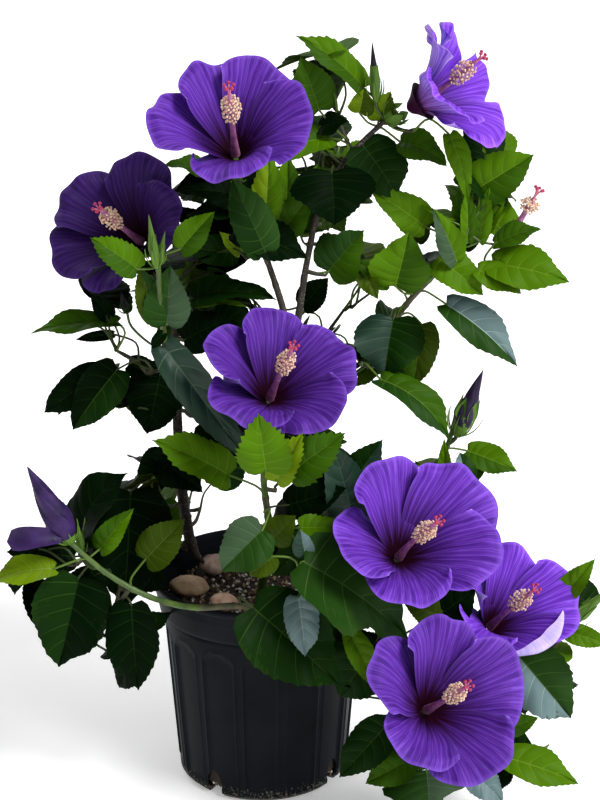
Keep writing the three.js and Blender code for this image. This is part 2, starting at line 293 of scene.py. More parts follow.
def mottled(name, dark, light, scale, roughness=0.6, relief=0.4, stretch=None, **sockets):
    """A material between two colours, with a fine relief of the same grain."""
    material = new_material(name, dark, roughness, **sockets)
    grain = noise_of(material, scale, stretch=stretch)
    feed(material, "Base Color", ramp(material, grain, [(0.35, dark), (0.65, light)]))
    bump(material, grain, relief, 0.5 * MM)
    return material


# ---------------------------------------------------------------- camera, floor, light

def add_camera():
    data = bpy.data.cameras.new("camera")
    data.lens = CAMERA_LENS
    data.sensor_width = 36
    camera = bpy.data.objects.new("camera", data)
    camera.location = CAMERA_PLACE
    camera.rotation_euler = (math.radians(90 - CAMERA_PITCH), 0, 0)
    bpy.context.scene.collection.objects.link(camera)
    bpy.context.scene.camera = camera


def add_floor():
    mesh = bpy.data.meshes.new("floor")
    corners = [(x * FLOOR_HALF, y * FLOOR_HALF, 0) for x, y in ((-1, -1), (1, -1), (1, 1), (-1, 1))]
    mesh.from_pydata(corners, [], [(0, 1, 2, 3)])
    white = new_material("floor", (0.93, 0.93, 0.93), 0.8, Emission_Color=(1, 1, 1, 1),
                         Emission_Strength=FLOOR_GLOW)
    mesh.materials.append(white)
    floor = bpy.data.objects.new("floor", mesh)
    bpy.context.scene.collection.objects.link(floor)


def add_sun(name, toward, strength, spread):
    """A sun that shines from a direction, its shadows softened by the spread in degrees."""
    data = bpy.data.lights.new(name, "SUN")
    data.energy = strength
    data.angle = math.radians(spread)
    light = bpy.data.objects.new(name, data)
    light.rotation_euler = Vector(toward).to_track_quat("Z", "Y").to_euler()
    bpy.context.scene.collection.objects.link(light)


def add_lights():
    """A white room that lights the plant softly, a key from the upper right, and two weaker suns."""
    bpy.context.scene.view_settings.view_transform = "Standard"
    world = bpy.data.worlds.new("world")
    bpy.context.scene.world = world
    world.use_nodes = True
    links = world.node_tree.links
    background = world.node_tree.nodes["Background"]
    background.inputs["Color"].default_value = (1, 1, 1, 1)
    seen = world.node_tree.nodes.new("ShaderNodeLightPath").outputs["Is Camera Ray"]
    strength = world.node_tree.nodes.new("ShaderNodeMapRange")
    strength.inputs["To Min"].default_value = ROOM_LIGHT
    links.new(seen, strength.inputs["Value"])
    links.new(strength.outputs["Result"], background.inputs["Strength"])
    add_sun("key", (1.05, -0.9, 1.55), 3.1, 22)
    add_sun("back", (-0.6, 1.0, 1.1), 1.0, 40)
    add_sun("side", (1.0, -0.4, 0.25), 1.2, 50)


# ---------------------------------------------------------------- the pot and what is in it

POT_PANELS = 14
POT_SIDES = POT_PANELS * 32
BODY_INSET = 9.7 * MM   # how far the wall's top lies within the lip
FOOT_INSET = 19.5 * MM  # and the wall's foot
BAND_SHARE = 0.825      # where the rim band's foot stands, as a share of the height
PANEL_TOP = 0.75
PANEL_FOOT = 0.055
PANEL_DEPTH = 1.3 * MM
PANEL_BEAD = 0.7 * MM   # how far the bead round each panel stands out
DRAINS = 4
DRAIN_FIRST = -34
DRAIN_WIDTH = 14 * MM
DRAIN_HEIGHT = 18 * MM
DRAIN_POINTS = 24


def pot_measures():
    """The pot's height and its lip's radius."""
    low, high = box_of("pot")
    return high[2], (high[0] - low[0]) / 2


def drain_angles():
    """Where the drain holes stand round the pot."""
    return [math.radians(DRAIN_FIRST - 90) + i * TURN / DRAINS for i in range(DRAINS)]


def pot_profile(height, lip):
    """The pot's outside from its middle to the lip, and its inside down to the middle again, each
    as (radius, height) pairs."""
    band = height * BAND_SHARE
    body = lip - BODY_INSET
    foot = lip - FOOT_INSET
    outside = [(0, 1.5), (50, 1.5), (52, 0), (foot / MM - 4.5, 0), (foot / MM - 3.2, 0.6),
               (foot / MM - 0.4, 3.6)]
    outside = [(r * MM, z * MM) for r, z in outside]
    for share in np.linspace(0.03, 0.985, 46):
        outside.append((foot + (body - foot) * share, band * share))
    groove = [(body - 0.6 * MM, band - 1.2 * MM), (body - 0.4 * MM, band + 0.3 * MM),
              (body + 2.6 * MM, band + 0.4 * MM), (body + 3.3 * MM, band + 1.2 * MM)]
    rim = height - 5 * MM
    top = lip - 2.1 * MM
    band_side = [(body + 3.3 * MM + (top - body - 3.3 * MM) * t,
                  band + 1.2 * MM + (rim - band - 1.2 * MM) * t) for t in np.linspace(0.1, 1, 12)]
    band_side = [(r + 0.35 * MM * math.exp(-((z - rim + 8 * MM) / (0.9 * MM)) ** 2), z)
                 for r, z in band_side]
    roll = [(lip - 0.8 * MM, rim + 0.3 * MM), (lip - 0.1 * MM, rim + 1.3 * MM), (lip, rim + 3.2 * MM),
            (lip - 0.7 * MM, height - 0.6 * MM), (lip - 2 * MM, height), (lip - 3.4 * MM, height - 0.5 * MM),
            (lip - 4.1 * MM, height - 2 * MM)]
    inside = [(lip - 4.6 * MM, height - 8 * MM), (lip - 5.6 * MM, height - 8.6 * MM),
              (lip - 6.4 * MM, height - 15 * MM), (lip - 7.5 * MM, height - 15.6 * MM),
              (lip - 8.4 * MM, band + 2 * MM), (body - 2.4 * MM, band - 3 * MM),
              (foot - 2.2 * MM, 6 * MM), (foot - 6 * MM, 3 * MM), (0, 3 * MM)]
    return outside + groove + band_side + roll, inside


def panel_relief(angles, heights, height):
    """How far each point lies in an arched panel, from 0 to -1, or stands out on the bead round it."""
    pitch = TURN / POT_PANELS
    across = np.abs((angles / pitch) % 1 - 0.5) * 2
    arch = height * (PANEL_TOP - 0.075 * across ** 2.2)
    side = 1 - smooth_step(0.72, 0.80, across)
    top = 1 - smooth_step(arch - 1.5 * MM, arch + 0.5 * MM, heights)
    foot = smooth_step(height * PANEL_FOOT - 1 * MM, height * PANEL_FOOT + 1 * MM, heights)
    edge_side = np.exp(-((across - 0.82) / 0.05) ** 2) * (heights < arch + 2 * MM)
    edge_top = np.exp(-((heights - arch - 2 * MM) / (1.4 * MM)) ** 2) * (across < 0.86)
    return PANEL_BEAD * np.maximum(edge_side, edge_top) * foot - PANEL_DEPTH * side * top * foot


def add_pot():
    height, lip = pot_measures()
    shapes = Shapes()
    outside, inside_wall = pot_profile(height, lip)

    def flute(points, angles):
        radius = np.hypot(points[..., 0], points[..., 1])
        relief = panel_relief(angles[None, :], points[..., 2], height)
        relief[len(outside):] = 0
        relief[points[..., 2] > height * BAND_SHARE - 4 * MM] = 0
        relief[radius < 0.5 * lip] = 0
        scale = 1 + relief / np.maximum(radius, lip / 2)
        points[..., 0] *= scale
        points[..., 1] *= scale
        return points

    add_lathe(shapes, outside + inside_wall, POT_SIDES, reshape=flute)
    pot = shapes.make("pot_shell", [plastic_material()], "pot", sharp=38, replaces=["pot"])
    cut_drains(pot, lip - FOOT_INSET)


def cut_drains(pot, foot):
    """Cuts the arched drain holes through the corner between wall and floor."""
    shapes = Shapes()
    for angle in drain_angles():
        out = np.array([math.cos(angle), math.sin(angle), 0])
        side = np.array([-out[1], out[0], 0])
        turns = np.arange(DRAIN_POINTS) * TURN / DRAIN_POINTS
        ring = (side * np.cos(turns)[:, None] * DRAIN_WIDTH / 2
                + UP * (np.sin(turns)[:, None] * DRAIN_HEIGHT + 3 * MM))
        near = ring + out * (foot - 12 * MM)
        far = ring + out * (foot + 8 * MM)
        faces = grid_faces(2, DRAIN_POINTS, closed=True)
        ring_numbers = np.arange(DRAIN_POINTS)
        ends = [ring_numbers[::-1], ring_numbers + DRAIN_POINTS]
        shapes.add(np.vstack([near, far]), (faces, 0), (ends, 0))
    mesh_object = shapes.make("drain_cutter", [], "pot")
    cutter = pot.modifiers.new("drains", "BOOLEAN")
    cutter.operation = "DIFFERENCE"
    cutter.solver = "EXACT"
    cutter.object = mesh_object
    apply_modifiers(pot)
    bpy.data.objects.remove(mesh_object)


def apply_modifiers(piece):
    """Makes the piece's mesh what its modifiers show, and removes them."""
    graph = bpy.context.evaluated_depsgraph_get()
    mesh = bpy.data.meshes.new_from_object(piece.evaluated_get(graph))
    piece.modifiers.clear()
    piece.data = mesh


def plastic_material():
    """Black moulded plastic with faint marks, dusty towards the foot."""
    material = new_material("pot_plastic", (0.006, 0.008, 0.010), 0.4, Specular_IOR_Level=0.04)
    place = node(material, "ShaderNodeTexCoord").outputs["Object"]
    height = node(material, "ShaderNodeSeparateXYZ", {"Vector": place}).outputs["Z"]
    low = node(material, "ShaderNodeMapRange",
               {"Value": height, "From Min": 0.04, "From Max": 0.0}).outputs["Result"]
    specks = noise_of(material, 520, detail=2, roughness=0.7)
    dust = math_of(material, "MULTIPLY", low, specks)
    soft = noise_of(material, 28, detail=5)
    base = ramp(material, soft, [(0.3, (0.005, 0.006, 0.0075)), (0.7, (0.008, 0.010, 0.013))])
    mask = ramp(material, dust, [(0.44, (0, 0, 0)), (0.62, (1, 1, 1))])
    feed(material, "Base Color", mix_of(material, mask, base, (0.22, 0.20, 0.17, 1)))
    rough = node(material, "ShaderNodeMapRange",
                 {"Value": soft, "To Min": 0.34, "To Max": 0.48}).outputs["Result"]
    feed(material, "Roughness", rough)
    bump(material, noise_of(material, 240, detail=2), 0.12, 0.4 * MM)
    return material


def uneven(points, size, depth, shift=0.0):
    """How far each point is moved by a soft noise of the given grain."""
    return np.array([noise.noise(Vector(p) / size + Vector((shift, 2 * shift, 0))) * depth for p in points])


SOIL_RINGS, SOIL_SIDES = 46, 120
SWELLS = (16 * MM, 3.2 * MM)    # the grain and height of the mix's broad swells
CRUMBS = (3.5 * MM, 1.6 * MM)   # and of its crumbs
# The loose grains on top: the number of their material, how many, their size and their flatness.
LOOSE_GRAINS = ((1, 900, 2.6 * MM, 0.45), (2, 330, 2.1 * MM, 0.8), (3, 260, 2.4 * MM, 0.8))
DRAIN_GRAINS = 26


def add_soil():
    """The mix as one solid with a crumbly top, loose grains on it, and some behind the drain holes."""
    low, high = box_of("soil")
    level = high[2]
    radius = (high[0] - low[0]) / 2 - 0.2 * MM
    shapes = Shapes()
    add_soil_bed(shapes, radius, level)
    rng = np.random.default_rng(SEED)
    for number, count, size, flatness in LOOSE_GRAINS:
        for _ in range(count):
            reach = radius * math.sqrt(rng.random()) * 0.98
            angle = rng.random() * TURN
            place = np.array([reach * math.cos(angle), reach * math.sin(angle), level])
            place[2] += float(uneven([place], *SWELLS)[0]) - 0.4 * MM
            add_grain(shapes, rng, place, size * rng.uniform(0.5, 1.3), flatness, number)
    add_drain_grains(shapes, rng)
    materials = [
        mottled("soil_mix", (0.012, 0.008, 0.006), (0.045, 0.030, 0.020), 700, 0.95, 1.0),
        mottled("soil_chips", (0.03, 0.018, 0.011), (0.10, 0.062, 0.036), 500, 0.9),
        new_material("soil_perlite", (0.72, 0.70, 0.64), 0.85),
        new_material("soil_fibre", (0.25, 0.17, 0.10), 0.9),
    ]
    shapes.make("soil_bed", materials, "soil", sharp=35, replaces=["soil"])


def add_soil_bed(shapes, radius, level):
    """Adds the body of the mix: its uneven top, and its side and underside within the pot."""
    shares = np.linspace(0, 1, SOIL_RINGS) ** 0.8
    angles = np.arange(SOIL_SIDES) * TURN / SOIL_SIDES
    top = np.stack([radius * shares[:, None] * np.cos(angles), radius * shares[:, None] * np.sin(angles),
                    np.full((SOIL_RINGS, SOIL_SIDES), level)], axis=-1)
    lift = uneven(top.reshape(-1, 3), *SWELLS) + uneven(top.reshape(-1, 3), *CRUMBS, 5)
    top[..., 2] += lift.reshape(SOIL_RINGS, SOIL_SIDES) - 1.2 * MM
    height, lip = pot_measures()
    foot = lip - FOOT_INSET
    walls = [(radius, level - 6 * MM), (lip - 14 * MM, height * 0.8), (foot - 3.4 * MM, 9 * MM),
             (foot - 9 * MM, 4 * MM), (1e-6, 4 * MM)]
    below = np.array([[[r * math.cos(a), r * math.sin(a), z] for a in angles] for r, z in walls])
    points = np.concatenate([top, below]).reshape(-1, 3)
    shapes.add(points, (grid_faces(SOIL_RINGS + len(walls), SOIL_SIDES, closed=True)[:, ::-1], 0))


def add_drain_grains(shapes, rng):
    """Adds the grains that show through the drain holes."""
    foot = pot_measures()[1] - FOOT_INSET
    for angle in drain_angles():
        for _ in range(DRAIN_GRAINS):
            turn = angle + rng.uniform(-0.1, 0.1)
            reach = foot - rng.uniform(4, 7) * MM
            place = np.array([reach * math.cos(turn), reach * math.sin(turn), rng.uniform(4, 17) * MM])
            add_grain(shapes, rng, place, rng.uniform(1, 2) * MM, 0.8, int(rng.integers(1, 4)))


GRAIN_POINTS = np.array([[1, 0, 0], [-1, 0, 0], [0, 1, 0], [0, -1, 0], [0, 0, 1], [0, 0, -1]], float)
GRAIN_FACES = [[0, 2, 4], [2, 1, 4], [1, 3, 4], [3, 0, 4], [2, 0, 5], [1, 2, 5], [3, 1, 5], [0, 3, 5]]


def add_grain(shapes, rng, place, size, flatness, number):
    """Adds one angular crumb of the mix."""
    basis = np.linalg.qr(rng.normal(size=(3, 3)))[0]
    points = GRAIN_POINTS * rng.uniform(0.6, 1.2, (6, 1)) * np.array([1, 0.8, flatness]) * size
    shapes.add(place + points @ basis, (GRAIN_FACES, number))


PEBBLE_RINGS, PEBBLE_SIDES = 20, 36
PEBBLE_SWELL_MOST = 1.06


def add_pebbles():
    """Smooth river stones, each the size of its node."""
    tones = {
        "pebble_tan": ((0.34, 0.21, 0.12), (0.52, 0.36, 0.22)),
        "pebble_pink": ((0.36, 0.22, 0.17), (0.56, 0.42, 0.34)),
        "pebble_front": ((0.40, 0.22, 0.14), (0.60, 0.40, 0.29)),
    }
    for seed, (name, (dark, light)) in enumerate(tones.items()):
        low, high = box_of(name)
        middle, half = (low + high) / 2, (high - low) / 2

        def place(points):
            flat = points.reshape(-1, 3)
            swell = 1 + uneven(flat, 0.9, 0.16, 3.1 * seed) + uneven(flat, 0.35, 0.05, seed)
            swell = np.minimum(swell, PEBBLE_SWELL_MOST)
            return (flat * swell[:, None] * half + middle).reshape(points.shape)

        shapes = Shapes()
        add_lathe(shapes, ball_profile(PEBBLE_RINGS), PEBBLE_SIDES, place=place)
        stone = mottled(name + "_stone", dark, light, 160, 0.62, 0.25)
        shapes.make(name + "_stone", [stone], "pebble", replaces=[name])


# ---------------------------------------------------------------- stems and boughs

LIMBS = [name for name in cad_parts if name.startswith(("stem_", "bough_", "shoot_"))]
RING_GATHER = 13 * MM    # corners of a limb closer than this belong to one ring
LIMB_SINK = 4 * MM
LIMB_SIDES = 16
# From which share of its length a limb's skin is green, and which share before that is young and olive.
GREEN_FROM = {"shoot_center": 0.0, "shoot_left": 0.0, "bough_low_left": 0.42, "bough_right": 0.66,
              "bough_middle_right": 0.45}
OLIVE_SHARE = 0.4


def welded(node_name):
    """The distinct corners of a node, and its triangles over them."""
    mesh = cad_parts[node_name].data
    corners = np.array([v.co for v in mesh.vertices], float)
    places = np.round(corners / 1e-6).astype(int)
    _, first, back = np.unique(places, axis=0, return_index=True, return_inverse=True)
    mesh.calc_loop_triangles()
    triangles = np.array([t.vertices for t in mesh.loop_triangles])
    return corners[first], back.reshape(-1)[triangles]


def middle_line(name):
    """A limb's middle line from its thicker end, and its radius there, from the rings of its solid."""
    corners, _ = welded(name)
    rings = []
    left = list(range(len(corners)))
    while left:
        near = [i for i in left if np.linalg.norm(corners[i] - corners[left[0]]) < RING_GATHER]
        rings.append(corners[near])
        left = [i for i in left if i not in near]
    rings = [ring for ring in rings if len(ring) > 2]
    middles = np.array([ring.mean(axis=0) for ring in rings])
    radii = np.array([np.median(np.linalg.norm(ring - middle, axis=1))
                      for ring, middle in zip(rings, middles)])
    far = np.linalg.norm(middles[:, None] - middles[None], axis=2)
    ends = np.unravel_index(far.argmax(), far.shape)
    here = ends[0] if radii[ends[0]] > radii[ends[1]] else ends[1]
    order, rest = [here], set(range(len(middles))) - {here}
    while rest:
        here = min(rest, key=lambda i: far[order[-1], i])
        order.append(here)
        rest.remove(here)
    return middles[order], radii[order]


def bark_relief(thickness, seed):
    """Low ridges along a stem, warts and the rings of old leaf scars."""
    def relief(angles, lengths):
        wave = np.sin(3 * angles + 40 * lengths + seed) + 0.6 * np.sin(5 * angles - 65 * lengths + 2 * seed)
        warts = np.sin(7 * angles + 900 * lengths) * np.sin(11 * angles - 620 * lengths + seed)
        scars = np.exp(-(((lengths / (24 * MM) + 0.37 * seed) % 1 - 0.5) / 0.06) ** 2)
        lopsided = 1 + 0.5 * np.cos(angles + 9 * seed)
        return thickness * (0.045 * wave + 0.05 * warts + 0.16 * scars * lopsided)
    return relief


def add_limbs():
    """The stems and boughs with their bark. Gives back points all along them, for twigs to start from."""
    shapes = Shapes()
    starts = []
    for seed, name in enumerate(LIMBS):
        middles, radii = middle_line(name)
        foot = middles[0] + unit(middles[0] - middles[1]) * LIMB_SINK
        tip = middles[-1] + unit(middles[-1] - middles[-2]) * 1.5 * MM
        middles = np.vstack([foot, middles, tip])
        radii = np.concatenate([radii[:1], radii, radii[-1:]])
        route, thickness = spline(middles, radii, 2.2 * MM)
        share = np.linspace(0, 1, len(route))
        green = GREEN_FROM.get(name, 2.0)
        skin = np.where(share >= green, 1, np.where(share >= green - OLIVE_SHARE, 2, 0))
        add_tube(shapes, route, thickness, LIMB_SIDES, skin, bark_relief(radii.mean(), seed))
        starts += list(route[3:-1:4])
    young = mottled("young_bark", (0.030, 0.032, 0.010), (0.095, 0.090, 0.038), 150, 0.65)
    shapes.make("stem_bark", [bark_material(), shoot_material("shoot_skin"), young], "bark", replaces=LIMBS)
    return starts


def bark_material():
    """Grey-brown young bark, speckled with pale lenticels."""
    material = new_material("bark", (0.10, 0.08, 0.05), 0.8)
    grain = noise_of(material, 90, detail=6, stretch=(1, 1, 0.35))
    specks = noise_of(material, 650, detail=3)
    base = ramp(material, grain, [(0.32, (0.006, 0.004, 0.002)), (0.52, (0.019, 0.014, 0.008)),
                                  (0.74, (0.055, 0.043, 0.028))])
    mask = ramp(material, specks, [(0.58, (0, 0, 0)), (0.68, (1, 1, 1))])
    feed(material, "Base Color", mix_of(material, mask, base, (0.14, 0.12, 0.085, 1)))
    bump(material, specks, 0.7, 0.5 * MM)
    return material


def shoot_material(name, dark=(0.030, 0.066, 0.006), light=(0.078, 0.140, 0.014)):
    """The smooth skin of a green shoot."""
    return mottled(name, dark, light, 120, 0.5, 0.15, stretch=(1, 1, 0.3))


# ---------------------------------------------------------------- leaves

LEAF_VEINS = (0.06, 0.17, 0.32, 0.49, 0.67)
VEIN_HALF = 0.0045
MIDRIB_HALF = 0.0075
LEAF_COLUMNS = (0.0, 0.22, 0.5, 0.8, 1.0)
LEAF_THICKNESS = 0.35 * MM

# Each tone: its blade, and its underside. Veins are a paler blade. Some tones are painted light and shade
# rather than leaf colour, as noted at each.
TONES = {
    # dark: near-black green, painted shade on leaves that stand in shade.
    "dark": ((0.0008, 0.0055, 0.0005), (0.002, 0.008, 0.001)),
    "deep": ((0.0035, 0.0190, 0.0008), (0.008, 0.026, 0.002)),
    "mid": ((0.0260, 0.0760, 0.0006), (0.034, 0.078, 0.004)),
    # bright: light young green, partly painted light of a leaf lit from behind.
    "bright": ((0.0570, 0.1390, 0.0004), (0.065, 0.130, 0.003)),
    "yellow": ((0.1150, 0.1950, 0.0020), (0.100, 0.165, 0.010)),
    "olive": ((0.0340, 0.0640, 0.0010), (0.040, 0.062, 0.006)),
    "green": ((0.0110, 0.0420, 0.0030), (0.018, 0.048, 0.006)),
    "sage": ((0.0380, 0.0720, 0.0340), (0.035, 0.062, 0.028)),
    # A dark green with a painted bluish-grey sheen of reflected light.
    "dark_painted_sheen": ((0.0070, 0.0320, 0.0160), (0.018, 0.048, 0.024)),
    # A pale bluish-grey: a painted sheen of reflected sky on a green leaf.
    "painted_sheen": ((0.0900, 0.1500, 0.1500), (0.055, 0.090, 0.070)),
}
VEIN_LIFT = {
    "dark": (0.006, 0.019, 0.003),
    "deep": (0.022, 0.052, 0.006),
    "mid": (0.066, 0.130, 0.010),
    "bright": (0.110, 0.205, 0.010),
    "yellow": (0.170, 0.250, 0.035),
    "olive": (0.090, 0.115, 0.018),
    "green": (0.040, 0.085, 0.014),
    "sage": (0.075, 0.125, 0.065),
    "dark_painted_sheen": (0.045, 0.088, 0.052),
    "painted_sheen": (0.200, 0.280, 0.250),
}
LEAF_GLOSS = {"dark": 0.02, "deep": 0.04, "green": 0.08, "dark_painted_sheen": 0.3, "painted_sheen": 0.35}
TONE_NAMES = list(TONES)


def leaf_materials():
    """Blade, vein and underside of each tone, in that order."""
    materials = []
    for tone, (blade, under) in TONES.items():
        gloss = LEAF_GLOSS.get(tone, 0.06)
        materials.append(new_material("leaf_" + tone, blade, 0.5, Specular_IOR_Level=gloss))
        materials.append(new_material("leaf_vein_" + tone, VEIN_LIFT[tone], 0.55, Specular_IOR_Level=gloss))
        materials.append(new_material("leaf_under_" + tone, under, 0.65, Specular_IOR_Level=0.04))
    return materials


def leaf_rows():
    """Rows across a leaf from its base to its tip: where on the midrib each starts, which side of a
    vein it edges, how far it puffs up, and how far its end stands out as a tooth."""
    rows = [(0.0, 0, 0.0, 0.0)]
    stations = (0.0, *LEAF_VEINS, 1.0)
    for k, (low, high) in enumerate(zip(stations, stations[1:])):
        for share, tooth in ((0.25, -0.7), (0.5, 0.7), (0.75, -0.6)):
            rows.append((low + (high - low) * share, 0, math.sin(math.pi * share), tooth))
        if k < len(LEAF_VEINS):
            rows.append((high, -1, 0.0, 1.0))
            rows.append((high, 1, 0.0, 1.0))
    rows.append((1.0, 0, 0.0, 0.0))
    return np.array(rows)


LEAF_ROWS = leaf_rows()


# Half a leaf's outline: for starts along the midrib, how far out and how far along the leaf the row
# from there ends. It is round at its base and drawn out at its tip.
OUTLINE_STARTS = (0.0, 0.015, 0.03, 0.06, 0.11, 0.17, 0.25, 0.32, 0.41, 0.49, 0.58, 0.67, 0.78, 0.89, 1.0)
OUTLINE_WIDTHS = (0.0, 0.42, 0.66, 0.88, 0.98, 1.0, 0.96, 0.90, 0.79, 0.67, 0.52, 0.37, 0.21, 0.08, 0.0)
OUTLINE_ENDS = (0.0, -0.05, -0.01, 0.11, 0.22, 0.32, 0.43, 0.52, 0.61, 0.69, 0.765, 0.83, 0.90, 0.955, 1.0)


def leaf_outline(s, lobes):
    """Half the leaf's width, and how far each row leans towards the tip, for a leaf 1 long and 1 wide."""
    lean = np.interp(s, OUTLINE_STARTS, OUTLINE_ENDS) - s
    width = 0.5 * np.interp(s, OUTLINE_STARTS, OUTLINE_WIDTHS)
    if lobes:
        swell = np.exp(-((s - 0.22) / 0.10) ** 2)
        notch = np.exp(-((s - 0.46) / 0.10) ** 2)
        width = width * (1 + lobes * (swell - 1.5 * notch))
    return np.maximum(width, 0.004), lean


def leaf_surface(ratio, arch, fold, ripple, phase, lobes, teeth):
    """A leaf 1 long as a grid curved along an arc: how far across, along and up each point is, and
    how far along and up its normal points."""
    start, edge, puff, tooth = (LEAF_ROWS[:, i:i + 1] for i in range(4))
    across = np.array([*(-np.array(LEAF_COLUMNS[::-1])), *LEAF_COLUMNS])[None]
    f = np.abs(across)
    sign = np.concatenate([-np.ones(len(LEAF_COLUMNS)), np.ones(len(LEAF_COLUMNS))])[None]
    s = start + edge * VEIN_HALF * (1 - 0.85 * f)
    width, lean = leaf_outline(s, lobes)
    width = width * ratio
    rib = np.minimum(MIDRIB_HALF * (1 - 0.7 * s), width)
    x = rib + (width - rib) * f
    at_edge = f ** 12 * smooth_step(0.02, 0.2, s)
    x = x * (1 + teeth * tooth * at_edge)
    y = s + lean * f ** 1.3 + 0.35 * teeth * tooth * at_edge
    up = 0.017 * puff * np.sin(math.pi * f ** 0.8) - 0.007 * (f == 0)
    up = up + fold * x - 0.55 * fold * x * x / 0.5
    up = up + ripple * f ** 2 * np.sin(TURN * (1.6 * s + 0.25 * sign) + phase) * x
    turn = arch * (y - 0.5)
    scale = 1 / (2 * math.sin(arch / 2)) if arch else 1
    along = (np.sin(turn) + math.sin(arch / 2)) * scale + up * np.sin(turn)
    height = (np.cos(turn) - math.cos(arch / 2)) * scale + up * np.cos(turn)
    normal_along, normal_up = np.sin(turn), np.cos(turn)
    return x * sign, along, height, normal_along, normal_up


LEAF_SIZE = (len(LEAF_ROWS), 2 * len(LEAF_COLUMNS))


def leaf_faces():
    """The top and underside quads, which share the leaf's margin, and which of them are veins."""
    rows, columns = LEAF_SIZE
    top = grid_faces(rows, columns)
    index = np.arange(rows * columns).reshape(rows, columns)
    under = index + rows * columns
    under[0], under[-1] = index[0], index[-1]
    under[:, 0], under[:, -1] = index[:, 0], index[:, -1]
    bottom = under.ravel()[top][:, ::-1]
    row = np.repeat(np.arange(rows - 1), columns - 1)
    column = np.tile(np.arange(columns - 1), rows - 1)
    vein = (LEAF_ROWS[row, 1] == -1) | (column == columns // 2 - 1)
    right = column >= columns // 2
    return top, bottom, vein, right


LEAF_TOP, LEAF_BOTTOM, LEAF_VEIN, LEAF_RIGHT = leaf_faces()


LEAF_FOLD = 0.25        # how far the two halves are folded up


def add_leaf(shapes, base, tip, facing, tone, right_half_painted_light=None, ratio=0.75, arch=0.6, ripple=0.25, phase=0.0,
             lobes=0.0, teeth=0.025):
    """Adds a leaf from its base to its tip with its upper side towards facing."""
    length = np.linalg.norm(tip - base)
    along = (tip - base) / length
    out = square_to(along, facing)
    side = np.cross(along, out)
    x, y, z, normal_y, normal_z = leaf_surface(ratio, arch, LEAF_FOLD, ripple, phase, lobes, teeth)
    x, y, z = (length * part[..., None] for part in (x, y, z))
    top = base + x * side + y * along + z * out
    normal = normal_y[..., None] * along + normal_z[..., None] * out
    under = top - normal * LEAF_THICKNESS
    points = np.concatenate([top.reshape(-1, 3), under.reshape(-1, 3)])
    first = 3 * TONE_NAMES.index(tone)
    second = 3 * TONE_NAMES.index(right_half_painted_light or tone)
    # The right half may take its own tone, lighter as painted light or darker as painted shade, where that
    # half of the fold takes the key light differently.
    blade = np.where(LEAF_RIGHT, second, first)
    shapes.add(points, (LEAF_TOP, blade + LEAF_VEIN), (LEAF_BOTTOM, blade + 2 - LEAF_VEIN))
